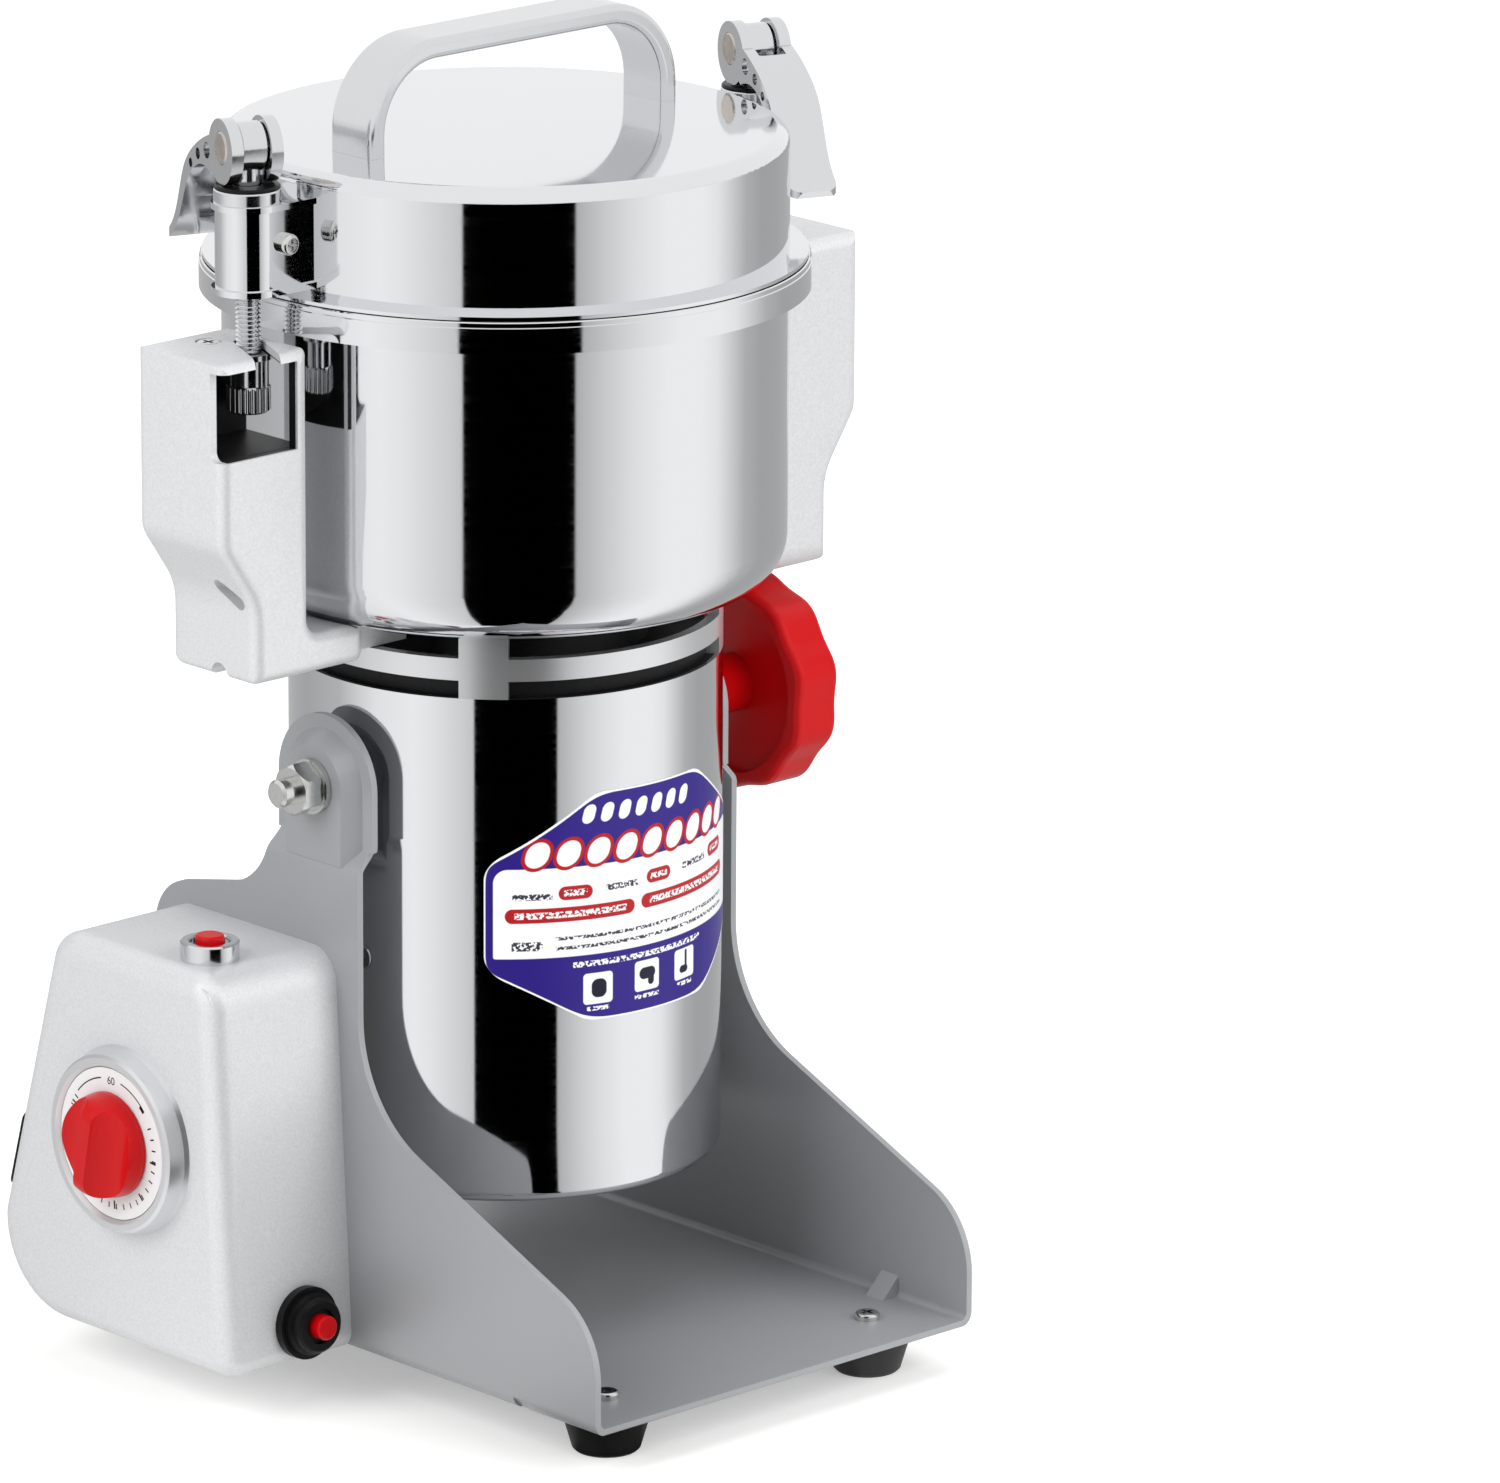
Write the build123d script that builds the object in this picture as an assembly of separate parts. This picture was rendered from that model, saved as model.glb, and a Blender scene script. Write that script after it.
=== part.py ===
"""Tilting electric grain mill: U-shaped sheet frame, motor tube, grinding bowl and clamped lid.

Millimetres. The bowl's axis is vertical at rest and the bench is z = 0. The pieces are modelled
about that axis and set down at AXIS_X, AXIS_Y, so that the origin is the middle of the footprint.
-Y is the front, and the tilting pivot runs along X.
"""
import os
from math import atan2, cos, degrees, hypot, pi, radians, sin, sqrt, tan

from build123d import *

# ---- driving dimensions -------------------------------------------------------------------
# Fits and gaps
RUN = 0.05              # radial clearance of a shaft or slide in its hole
GAP = 0.3               # space between curved faces of pieces that move past each other
SEAT = 0.15             # space between flat faces of pieces that move past each other
HOLE_EXTRA = 0.3        # radial clearance of a screw in a plain hole

# Frame: one bent sheet
SHEET = 2.0
TUBE_SPACE = 4.5        # between the motor tube and the ears
FRAME_FRONT = 116.0     # tray edge in front of the bowl's axis
FRAME_BACK = 86.0
BEND_R = 2.0            # inside radius of the tray bends
FRONT_EDGE_H = 31.0     # height of the plate's upright front edge above the tray's underside
FRONT_CORNER_R = 24.0
FLARE_ANGLE = 23.0      # slope of the plate's lower front edge
FLARE_R = 38.0          # hollow between that slope and the neck
NECK_HALF = 18.5        # half width of the neck under the ear
SHOULDER_H = 119.7      # back end of the plate's rear shoulder above the tray's underside
SHOULDER_RISE = 9.8     # from there up to the neck
SHOULDER_R = 16.0
REAR_TOP_Y = 65.5
REAR_KNEE_R = 15.0
REAR_HOLLOW_R = 20.0
EAR_R = 19.6
EAR_INSET = 4.5         # the ears are pressed in by this much
EAR_FOOT = 16.4         # the ear's lower end below the pivot
PAD_R = 11.5            # pad round the pivot bolt, level with the plate below it
PAD_SLOPE = 42.0        # slant of the pad's side
PIVOT_H = 174.0         # pivot above the bench; the mill's heights are counted from it
JOGGLE_H = 5.0          # height over which the plate steps in to the ear
GUSSET = 6.5            # leg of the pressed ribs in the tray's bends
GUSSET_Y = -85.0

# Wire grommet through the left plate into the control box
GROMMET_R = 9.0
GROMMET_Y = 14.0
GROMMET_H = 78.8        # above the box's underside
GROMMET_LIP = 2.0
GROMMET_LIP_T = 1.8

# Feet
FOOT_H = 12.7
FOOT_R_TOP = 12.7
FOOT_R_BASE = 9.6
FOOT_X = 50.0
FOOT_FRONT_INSET = 19.5
FOOT_BACK_INSET = 18.0
FOOT_SCREW_R = 2.0
FOOT_HEAD_R = 3.6
FOOT_HEAD_H = 2.0
FOOT_SCREW_L = 9.0

# Control box on the left plate
BOX_DEPTH = 45.5
BOX_WALL = 3.0
BOX_BOTTOM = 0.5        # above the tray's underside
BOX_HEIGHT = 115.0
BOX_FRONT_TOP_Y = -9.0
BOX_FRONT_BASE_Y = -15.5
BOX_BACK_TOP_Y = 59.5
BOX_BACK_BASE_Y = 84.0
BOX_TOP_R = 10.0
BOX_BACK_BASE_R = 26.0
BOX_FRONT_BASE_R = 5.0
BOX_EDGE_R = 6.5
BOX_BOSS_R = 4.5
BOX_SCREW_R = 1.75

# Timer dial on the box's outer face
DIAL_Y = 27.6
DIAL_DROP = 53.8        # below the box's top
DIAL_R = 27.1
DIAL_LIP_R = 24.6
DIAL_PROUD = 6.5
DIAL_FACE_R = 21.7
DIAL_FACE_T = 1.0
DIAL_RECESS = 1.2
KNOB_R = 15.0
KNOB_RIM_H = 1.5
KNOB_TOP_R = 13.4
KNOB_H = 10.5
KNOB_DOME_R = 5.5
SCOOP_R = 8.0           # the two hollows that leave a fin between them
SCOOP_APART = 9.9       # from the fin's middle to the axis of each hollow
SCOOP_UP = 12.5         # above the knob's underside
KNOB_TURN = 79.0
TIMER_SHAFT_R = 3.0
TIMER_BODY = 44.0
TIMER_BODY_T = 24.0

# Power button in a collar on the box's top
SWITCH_X = 30.0         # from the plate
SWITCH_Y = 9.3
COLLAR_R = 8.3
COLLAR_H = 5.3
COLLAR_BORE_R = 5.6
BUTTON_R = 4.1
BUTTON_TRAVEL = 2.0
BUTTON_PROUD = 1.6      # above the collar
SWITCH_BODY_R = 7.0
SWITCH_BODY_H = 22.0
SWITCH_THREAD_R = 5.0

# Overload breaker on the box's front face
BREAKER_X = 17.4        # from the plate
BREAKER_H = 12.0        # above the box's underside
BEZEL_R = 10.3
BEZEL_T = 2.6
BARREL_R = 7.8
BARREL_L = 5.0
RESET_R = 3.5
RESET_PROUD = 3.0
RESET_TRAVEL = 2.0
BREAKER_BODY_L = 26.0
BREAKER_THREAD_R = 5.6
BREAKER_MOUTH_R = 5.0

# Power inlet on the box's back face
INLET_W = 30.7
INLET_H = 24.3
INLET_T = 2.4
INLET_BODY_W = 27.0
INLET_BODY_H = 19.8
INLET_BODY_L = 22.0
INLET_MOUTH_W = 24.4
INLET_MOUTH_H = 16.0
INLET_MOUTH_DEPTH = 16.0
INLET_X = 25.0          # from the plate
INLET_Z = 44.0          # above the box's underside

# Motor tube
TUBE_R = 61.0
TUBE_WALL = 1.2
TUBE_BELOW = 117.7      # from the pivot down to the tube's foot
TUBE_H = 145.8
TUBE_LIP_R = 3.0
BAND_LIFT = 5.1         # above the tube's top
BAND_H = 6.3
BAND_T = 3.0
RIB_W = 13.7
RIB_TURN = 42.0         # first rib's angle from +X

# Bowl
BOWL_R = 79.0
BOWL_WALL = 1.5
BOWL_LIFT = 18.5        # above the tube's top
BOWL_H = 94.0           # to the top of the rim's curb
BOWL_CORNER_R = 15.0
RIM_OUT = 6.2           # rim beyond the wall
RIM_SKIRT_H = 8.8
RIM_CURB_H = 1.4
RIM_CURB_W = 3.2
SHAFT_HOLE_R = 14.0

# Lid
LID_WALL = 1.5
LID_HEIGHT = 35.1       # flange underside to the top
LID_SHOULDER_R = 4.0
LID_FLANGE_IN = 0.9     # flange inside the rim's edge
LID_FLANGE_T = 1.0
LID_CROWN = 0.8

# Handle
HANDLE_LEN = 114.4
HANDLE_H = 30.8
HANDLE_W = 17.4
HANDLE_T = 5.7
HANDLE_R = 25.0
HANDLE_EDGE_R = 1.8

# Arms
ARM_REACH = 40.5        # outer face beyond the bowl's wall
ARM_SPACE = 9.1         # inner face beyond the bowl's wall
ARM_HALF = 18.2
ARM_DROP = 10.4         # top below the rim
ARM_STEP_X = 11.7       # how far the outer face steps in
ARM_UPPER_H = 51.6      # from the top down to the step
ARM_STEP_H = 17.5
ARM_FOOT_DROP = 1.0     # left foot below the band's top
ARM_FOOT_MORE = 3.5     # right foot below the left one
ARM_FOOT_IN = 11.0      # foot's end inside the bowl's wall
ARM_FOOT_R = 7.0        # corner of the foot on its closed side
ARM_EDGE_R = 3.6
ARM_HOLLOW_R = 5.0
WEB_T = 2.5
TONGUE_HALF = 11.0
TONGUE_IN = 10.5        # tongue's end inside the end bell's edge
TONGUE_TOP_GAP = 0.4    # under the bowl
POCKET_H = 24.7
POCKET_BACK = 8.2
POCKET_WRAP = 5.3       # the window runs this far round the outer corner
POCKET_WALL = 2.4       # the arm's outer wall beside the pocket
JAMB_W = 4.6            # post between the window and the bowl
JAMB_T = 3.5
SLOT_SIDE = 0.5         # slot wider than the bolt by this much each side
SLOT_YAW = 25.0         # the slot runs to the front at this angle from the lid's edge

ARM_SCREW_R = 3.4
ARM_SCREW_IN = 17.0     # screw inside the arm's outer face
ARM_SCREW_Y = 7.4

# Clamps
CLAMP_OUT = 15.5        # bolt beyond the bowl's wall
CLAMP_YAW = 20.0        # the pin is turned this much from the radius
BOLT_R = 3.6
BOLT_CORE_R = 3.0
THREAD_PITCH = 1.25
EYE_R = 6.8
EYE_T = 7.6
PIN_R = 4.6
CAM_R = 9.1
CAM_THROW = 1.3
CAM_PHASE = 30.0
CHEEK_T = 3.4
CHEEK_GAP = 0.3         # between the eye and each cheek
LEVER_TIP = 44.6        # thumb plate's end from the pin
LEVER_TIP_R = 4.5
LEVER_HOLES = [(11.2, -2.9, 2.3), (18.0, -5.2, 1.6), (23.6, -8.9, 1.3)]    # along, up, radius
SLEEVE_R = 9.0
SLEEVE_LIFT = 3.4       # above the lid's flange
SLEEVE_H = 25.2
SLEEVE_FLANGE_T = 1.7
SLEEVE_FLANGE = 1.0
SLEEVE_BORE_R = 4.0
SLEEVE_SCREW_IN = 6.0   # screw from the bolt's axis towards the lid
COLLAR_T = 3.8
COLLAR_R_CLAMP = 9.3
DISH_R = 9.1
DISH_T = 1.0
DISH_RIM = 0.5
WASHER_R = 7.4
WASHER_T = 1.5
NUT_SHOULDER_R = 5.6
NUT_SHOULDER_H = 7.4
NUT_R = 6.2
NUT_H = 7.7
KNURL_COUNT = 24
KNURL_DEPTH = 0.45

# Pivot
STUD_R = 4.0
BOSS_R = 11.0
BOSS_PROUD = 4.0
FRICTION_R = 8.5
PIVOT_WASHER_R = 7.8
PIVOT_WASHER_T = 1.6
NUT_AF = 13.0
PIVOT_NUT_T = 6.5
STUD_END = 5.6          # stud beyond the nut
LOCK_R = 31.5
LOCK_VALLEY_R = 30.1
LOCK_T = 16.0
LOCK_LOBES = 10
LOCK_TURN = 21.0
LOCK_HUB_R = 8.5
LOCK_HUB_L = 12.5

# Motor
MOTOR_CLEAR = 0.1       # core and shields in the tube
COVER_T = 2.5
COVER_LIFT = 2.0
SHIELD_LIFT = 9.7       # heights above the tube's foot
SHIELD_T = 8.0
SHIELD_FLOOR = 2.0      # under the lower bearing
BEARING_R = 11.0
BEARING_T = 7.0
CORE_LIFT = 49.7
CORE_H = 42.0
CORE_RING = 11.0        # thickness of the core's ring
POLE_HALF = 17.0
POLE_SHOE = 3.7
POLE_SPAN = 120.0       # angle that a pole's shoe covers
AIR_GAP = 0.6
COIL_H = 10.0
COIL_W = 10.0
COIL_DEEP = 14.1        # from a pole's shoe to the core's ring
COMM_R = 14.0
COMM_LIFT = 27.7
COMM_H = 16.0
BRUSH_W = 7.0
BRUSH_L = 20.0
FAN_LIFT = 6.0          # above the windings
FAN_H = 10.0
FAN_SPACE = 12.8        # between the fan and the tube
FAN_BLADES = 11
SHAFT_R = 6.0
SHAFT_LOW_R = 4.0
SHAFT_TOP_R = 5.0
END_BELL_IN = 3.5       # disc inside the tube's outer face
END_BELL_T = 4.0
SPIGOT_H = 6.0
HUB_R = 34.0
TOP_BEARING_R = 16.0
TOP_BEARING_T = 10.0
SEAL_R = 12.0
PLATE_R = 30.0
PLATE_T = 3.0

# Screws of the bottom cover, the arms and the hub plate
SCREW_R = 2.0
SCREW_HEAD_R = 3.6
SCREW_HEAD_H = 1.9
COVER_SCREW_PCR = 42.0
COVER_SCREW_ANGLES = (90, 210, 330)
PLATE_PCR = 22.0
PLATE_SCREW_ANGLES = (45, 135, 225, 315)

# Grinding blades
BLADE_SPACE_R = 6.5     # between the blades' tips and the bowl's wall
BLADE_W = 24.0
BLADE_T = 2.5
BLADE_LIFT = 7.0        # lower blade above the hub plate
BLADE_SPACE = 20.0
SPACER_R = 11.0
BLADE_NUT_T = 8.0
BLADE_NUT_AF = 17.0
BLADE_TURN = 20.0

# Label
LABEL_T = 0.25
LABEL_HALF_ANGLE = 47.9
LABEL_LIFT = 52.2       # above the tube's foot
LABEL_H = 65.7
LABEL_END_LOW = 15.0    # the upright ends start this far above the label's foot
LABEL_END_HIGH = 46.0   # and stop here
LABEL_TOP_HALF = 18.7   # half width of its flat top
LABEL_FOOT_HALF = 21.5  # and of its flat foot
LABEL_CORNER_R = 9.0

# ---- derived sizes ------------------------------------------------------------------------
KNOB_LOW = DIAL_PROUD - DIAL_RECESS + 0.4
KNOB_FRONT = KNOB_LOW + KNOB_H
TRAY_UNDER = FOOT_H
TRAY_TOP = TRAY_UNDER + SHEET
EAR_IN = TUBE_R + TUBE_SPACE
EAR_OUT = EAR_IN + SHEET
PLATE_OUT = EAR_OUT + EAR_INSET
PLATE_IN = PLATE_OUT - SHEET
NECK_TOP = PIVOT_H - EAR_FOOT
BOX_LOW = TRAY_UNDER + BOX_BOTTOM
BOX_TOP = BOX_LOW + BOX_HEIGHT
BOX_OUT = PLATE_OUT + BOX_DEPTH
DIAL_Z = BOX_LOW + BOX_HEIGHT - DIAL_DROP
GROMMET_Z = BOX_LOW + GROMMET_H
BREAKER_Z = BOX_LOW + BREAKER_H
TUBE_IN = TUBE_R - TUBE_WALL
TUBE_BOTTOM = PIVOT_H - TUBE_BELOW
TUBE_TOP = TUBE_BOTTOM + TUBE_H
COVER_LOW = TUBE_BOTTOM + TUBE_LIP_R + COVER_LIFT
BAND_BOTTOM = TUBE_TOP + BAND_LIFT
BAND_TOP = BAND_BOTTOM + BAND_H
CORE_R = TUBE_IN - MOTOR_CLEAR
SHIELD_Z = TUBE_BOTTOM + SHIELD_LIFT
LOWER_BEARING_Z = SHIELD_Z + SHIELD_FLOOR
SHOULDER_Z = LOWER_BEARING_Z + BEARING_T + 0.5
COMM_Z = TUBE_BOTTOM + COMM_LIFT
BRUSH_Z = COMM_Z + COMM_H / 2
CORE_Z = TUBE_BOTTOM + CORE_LIFT
CORE_TOP = CORE_Z + CORE_H
YOKE_R = CORE_R - CORE_RING
CORE_BORE_R = YOKE_R - COIL_DEEP - POLE_SHOE - GAP
ARMATURE_R = CORE_BORE_R - AIR_GAP
FAN_Z = CORE_TOP + COIL_H + FAN_LIFT
FAN_R = TUBE_IN - FAN_SPACE
END_BELL_R = TUBE_R - END_BELL_IN
TOP_BEARING_Z = TUBE_TOP + 1.5
TONGUE_LOW = BAND_TOP + GAP
TONGUE_SEAT = TONGUE_LOW + 3.2
TONGUE_END = END_BELL_R - TONGUE_IN
BOWL_IN = BOWL_R - BOWL_WALL
BOWL_BOTTOM = TUBE_TOP + BOWL_LIFT
BOWL_RIM = BOWL_BOTTOM + BOWL_H
RIM_R = BOWL_R + RIM_OUT
BOWL_FLOOR = BOWL_BOTTOM + BOWL_WALL
RIM_SEAT = BOWL_RIM - RIM_CURB_H
LID_R = BOWL_R
LID_FLANGE_R = RIM_R - LID_FLANGE_IN
LID_UNDER = BOWL_RIM + GAP
LID_TOP = LID_UNDER + LID_HEIGHT
ARM_OUT = BOWL_R + ARM_REACH
ARM_IN = BOWL_R + ARM_SPACE
ARM_TOP = BOWL_RIM - ARM_DROP
ARM_STEP_TOP = ARM_TOP - ARM_UPPER_H
ARM_STEP_BASE = ARM_STEP_TOP - ARM_STEP_H
ARM_FOOT_BOTTOM = BAND_TOP - ARM_FOOT_DROP
ARM_FOOT_END = BOWL_R - ARM_FOOT_IN
CLAMP_X = BOWL_R + CLAMP_OUT
ARM_SCREW_AT = (ARM_SCREW_IN - ARM_OUT, ARM_SCREW_Y)
WEB_UNDER = ARM_TOP - WEB_T
NUT_TOP = WEB_UNDER - SEAT - WASHER_T
NUT_KNURL_TOP = NUT_TOP - SEAT - NUT_SHOULDER_H
NUT_LOW = NUT_KNURL_TOP - NUT_H
BOLT_LOW = NUT_LOW + 0.2
SLEEVE_BOTTOM = LID_UNDER + SLEEVE_LIFT
SLEEVE_TOP = SLEEVE_BOTTOM + SLEEVE_H
THREAD_TOP = SLEEVE_BOTTOM - GAP
COLLAR_TOP = SLEEVE_TOP + COLLAR_T
DISH_TOP = COLLAR_TOP + DISH_T
PIN_H = DISH_TOP + SEAT + CAM_R + CAM_THROW * cos(radians(CAM_PHASE))
CHEEK_IN = EYE_T / 2 + CHEEK_GAP
CHEEK_OUT = CHEEK_IN + CHEEK_T
HUB_PLATE_TOP = BOWL_FLOOR + PLATE_T
LOWER_BLADE_Z = HUB_PLATE_TOP + BLADE_LIFT
UPPER_BLADE_Z = LOWER_BLADE_Z + BLADE_T + BLADE_SPACE
BLADE_NUT_Z = UPPER_BLADE_Z + BLADE_T
BLADE_LEN = 2 * (BOWL_IN - BLADE_SPACE_R)
LABEL_LOW = TUBE_BOTTOM + LABEL_LIFT
LABEL_HIGH = LABEL_LOW + LABEL_H
BOX_KNEE_H = BOX_BACK_BASE_R + 1.6    # where the box's sloping back starts, above its underside
# Place of the bowl's axis: the origin is under the middle of the whole
AXIS_X = (BOX_OUT + KNOB_FRONT - ARM_OUT) / 2
AXIS_Y = (FRAME_FRONT - FRAME_BACK) / 2


# ---- shape helpers ------------------------------------------------------------------------
def rod(radius, low, high, x=0.0, y=0.0):
    """Upright cylinder between two heights."""
    return Pos(x, y, (low + high) / 2) * Cylinder(radius, high - low)


def tube(outer, inner, low, high, x=0.0, y=0.0):
    """Upright ring between two heights."""
    return rod(outer, low, high, x, y) - rod(inner, low - 1, high + 1, x, y)


def rod_x(radius, start, end, y, z):
    """Cylinder along X."""
    return Pos((start + end) / 2, y, z) * (Rot(0, 90, 0) * Cylinder(radius, abs(end - start)))


def rod_y(radius, start, end, x, z):
    """Cylinder along Y."""
    return Pos(x, (start + end) / 2, z) * (Rot(90, 0, 0) * Cylinder(radius, abs(end - start)))


def block(x0, x1, y0, y1, z0, z1):
    """Box between two corners."""
    centre = Pos((x0 + x1) / 2, (y0 + y1) / 2, (z0 + z1) / 2)
    return centre * Box(abs(x1 - x0), abs(y1 - y0), abs(z1 - z0))


def turned(points, arc=360):
    """Body turned about Z from (radius, height) points."""
    face = make_face(Plane.XZ * Polyline(*points, close=True))
    return revolve(face, Axis.Z, revolution_arc=arc)


def turned_curves(*curves):
    """Body turned about Z from (radius, height) curves that close on each other."""
    edges = [edge for curve in curves for edge in curve.edges()]
    return revolve(Plane.XZ * make_face(edges), Axis.Z)


def quarter(x, z, radius, way):
    """Quarter circle outside a centre, above it for way 1 and below it for way -1."""
    swing = radius * sqrt(0.5)
    return ThreePointArc((x + radius, z), (x + swing, z + way * swing), (x, z + way * radius))


def slab_x(sketch, start, end, taper=0.0):
    """Outline drawn as (y, z), pushed along X from start to end."""
    plane = Plane(origin=(start, 0, 0), x_dir=(0, 1, 0), z_dir=(1, 0, 0))
    return extrude(plane * sketch, end - start, taper=taper)


def slab_y(sketch, start, end):
    """Outline drawn as (x, z), pushed along Y from start to end."""
    plane = Plane(origin=(0, start, 0), x_dir=(1, 0, 0), z_dir=(0, -1, 0))
    return extrude(plane * sketch, start - end)


def rounded_polygon(points, radii):
    """Face inside a polygon whose corners have the given radii."""
    count = len(points)
    starts, ends, arcs = [], [], []
    for index in range(count):
        before, corner, after = (Vector(*points[(index + step) % count]) for step in (-1, 0, 1))
        back, ahead = (before - corner).normalized(), (after - corner).normalized()
        half = back.get_angle(ahead) / 2
        reach = radii[index] / tan(radians(half))
        start, end = corner + back * reach, corner + ahead * reach
        starts.append(start)
        ends.append(end)
        if radii[index] > 0:
            inwards = (back + ahead).normalized()
            middle = corner + inwards * (radii[index] / sin(radians(half)) - radii[index])
            arcs.append(ThreePointArc(start, middle, end))
    lines = [Line(ends[index], starts[(index + 1) % count]) for index in range(count)]
    return make_face(lines + arcs)


def both_sides(shape):
    """The shape and its copy turned half way round the bowl's axis."""
    return [shape, Rot(0, 0, 180) * shape]


def flatten(shape):
    """Every solid of a shape or of a list of shapes."""
    if isinstance(shape, (list, tuple)):
        return [solid for item in shape for solid in flatten(item)]
    return list(shape.solids())


def save(name, shape):
    """Write one node, set down at the bowl axis's place in the part's frame."""
    solids = [Pos(AXIS_X, AXIS_Y, 0) * solid for solid in flatten(shape)]
    body = solids[0] if len(solids) == 1 else Compound(children=solids)
    body.label = name
    export_step(body, os.path.join("parts", name + ".step"))


def pan_head(radius, height, low, x=0.0, y=0.0):
    """Domed screw head with a cross recess, standing on a height."""
    head = rod(radius, low, low + height, x, y)
    head = fillet(head.edges().group_by(Axis.Z)[-1], height * 0.45)
    for turn in (0, 90):
        slot = Rot(0, 0, turn) * Box(radius * 1.1, radius * 0.28, height)
        head -= Pos(x, y, low + height) * slot
    return head


def threaded(radius, core, low, high, pitch):
    """Rod with a row of ring grooves that stand for its thread, with a pointed lower end."""
    points = [(0, low), (core - 0.4, low), (core, low + 0.4)]
    level = low + 0.4
    while level + pitch <= high:
        points += [(core, level), (radius, level + pitch * 0.42), (radius, level + pitch * 0.58)]
        level += pitch
    points += [(core, level), (radius, level + pitch * 0.42), (radius, high + pitch), (0, high + pitch)]
    return turned(dedupe(points))


def dedupe(points):
    """The points without any that repeats the one before it."""
    kept = points[:1]
    for point in points[1:]:
        if hypot(point[0] - kept[-1][0], point[1] - kept[-1][1]) > 1e-6:
            kept.append(point)
    return kept


def hex_nut(across, low, high, bore):
    """Upright hexagon nut with chamfered corners."""
    sketch = RegularPolygon(across / 2, 6, major_radius=False)
    nut = Pos(0, 0, low) * extrude(sketch, high - low)
    cone_h = across * 0.08
    corner = across / sqrt(3)
    envelope = turned([(0, low), (corner - cone_h, low), (corner, low + cone_h),
                       (corner, high - cone_h), (corner - cone_h, high), (0, high)])
    return (nut & envelope) - rod(bore, low - 1, high + 1)


# ---- frame --------------------------------------------------------------------------------
def plate_outline():
    """Side view of the frame as (y, z): tray end, flared front, neck, ear and rear shoulder."""
    low = TRAY_UNDER
    slope = tan(radians(FLARE_ANGLE))
    edge_top = low + FRONT_EDGE_H
    neck_foot = edge_top + (FRAME_FRONT - NECK_HALF) * slope
    shoulder = low + SHOULDER_H
    knee = shoulder - SHOULDER_R - REAR_KNEE_R
    points = [(-FRAME_FRONT, low), (-FRAME_FRONT, edge_top), (-NECK_HALF, neck_foot),
              (-NECK_HALF, PIVOT_H), (NECK_HALF, PIVOT_H), (NECK_HALF, shoulder + SHOULDER_RISE),
              (REAR_TOP_Y, shoulder), (REAR_TOP_Y + 6, knee), (FRAME_BACK, low)]
    radii = [0.5, FRONT_CORNER_R, FLARE_R, 0.5, 0.5, REAR_HOLLOW_R, SHOULDER_R, REAR_KNEE_R, 0.5]
    ear = Pos(0, PIVOT_H) * Circle(EAR_R)
    neck = Pos(0, (NECK_TOP + PIVOT_H) / 2) * Rectangle(2 * EAR_R, PIVOT_H - NECK_TOP)
    return rounded_polygon(points, radii) + ear + neck


def bent_sheet():
    """U section with the ears stepped in, as (x, z), pushed the whole depth."""
    over = PIVOT_H + EAR_R + 5
    bend = NECK_TOP - JOGGLE_H

    def half(sign):
        outer = [(0, TRAY_UNDER), (sign * PLATE_OUT, TRAY_UNDER), (sign * PLATE_OUT, bend),
                 (sign * EAR_OUT, NECK_TOP), (sign * EAR_OUT, over), (sign * EAR_IN, over),
                 (sign * EAR_IN, NECK_TOP), (sign * PLATE_IN, bend), (sign * PLATE_IN, TRAY_TOP),
                 (0, TRAY_TOP)]
        radii = [0, BEND_R + SHEET, BEND_R + SHEET, BEND_R, 0, 0, BEND_R + SHEET, BEND_R, BEND_R, 0]
        return rounded_polygon(outer, radii)

    section = half(1) + half(-1)
    return slab_y(section, FRAME_BACK + 1, -FRAME_FRONT - 1)


def ear_pad(sign):
    """Pad that runs up from the plate to the pivot hole, hollow behind like the pressing it is."""
    drop = PIVOT_H - NECK_TOP + JOGGLE_H + 4
    spread = EAR_INSET * tan(radians(PAD_SLOPE))

    def stadium(radius):
        return Pos(0, PIVOT_H) * Circle(radius) + Pos(0, PIVOT_H - drop / 2) * Rectangle(2 * radius, drop)

    outer = slab_x(stadium(PAD_R + spread), sign * EAR_OUT, sign * PLATE_OUT, taper=PAD_SLOPE)
    hollow = slab_x(stadium(PAD_R + spread - 0.8), sign * (EAR_IN - 0.01), sign * PLATE_IN, taper=PAD_SLOPE)
    return outer, hollow


def gusset(sign):
    """Pressed rib across the bend near the front, and the dimple that it leaves outside."""
    inner_x = sign * (PLATE_IN + 0.2)
    inner_z = TRAY_TOP - 0.2
    rib = make_face(Polyline((inner_x, inner_z), (inner_x - sign * GUSSET, inner_z),
                             (inner_x, inner_z + GUSSET), close=True))
    wedge = slab_y(rib, GUSSET_Y + 3.5, GUSSET_Y - 3.5)
    dimple = Pos(sign * PLATE_OUT, GUSSET_Y, TRAY_UNDER) * (Rot(0, 45, 0) * Box(5.0, 5.0, 5.0))
    return wedge, dimple


def frame():
    """Tray and two side plates bent from one sheet."""
    outline = slab_x(plate_outline(), -PLATE_OUT - 1, PLATE_OUT + 1)
    shape = bent_sheet() & outline
    for sign in (-1, 1):
        pad, hollow = ear_pad(sign)
        shape = shape + pad - hollow
        rib, dimple = gusset(sign)
        shape = shape + rib - dimple
        shape -= rod_x(STUD_R + HOLE_EXTRA, sign * (EAR_IN - 5), sign * (PLATE_OUT + 5), 0, PIVOT_H)
    for x, y in foot_places():
        shape -= rod(FOOT_SCREW_R + HOLE_EXTRA, TRAY_UNDER - 1, TRAY_TOP + 1, x, y)
    for y, z in boss_places():
        shape -= rod_x(BOX_SCREW_R + HOLE_EXTRA, -PLATE_OUT - 1, -PLATE_IN + 1, y, z)
    shape -= rod_x(GROMMET_R, -PLATE_OUT - 1, -PLATE_IN + 1, GROMMET_Y, GROMMET_Z)
    return shape


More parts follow.
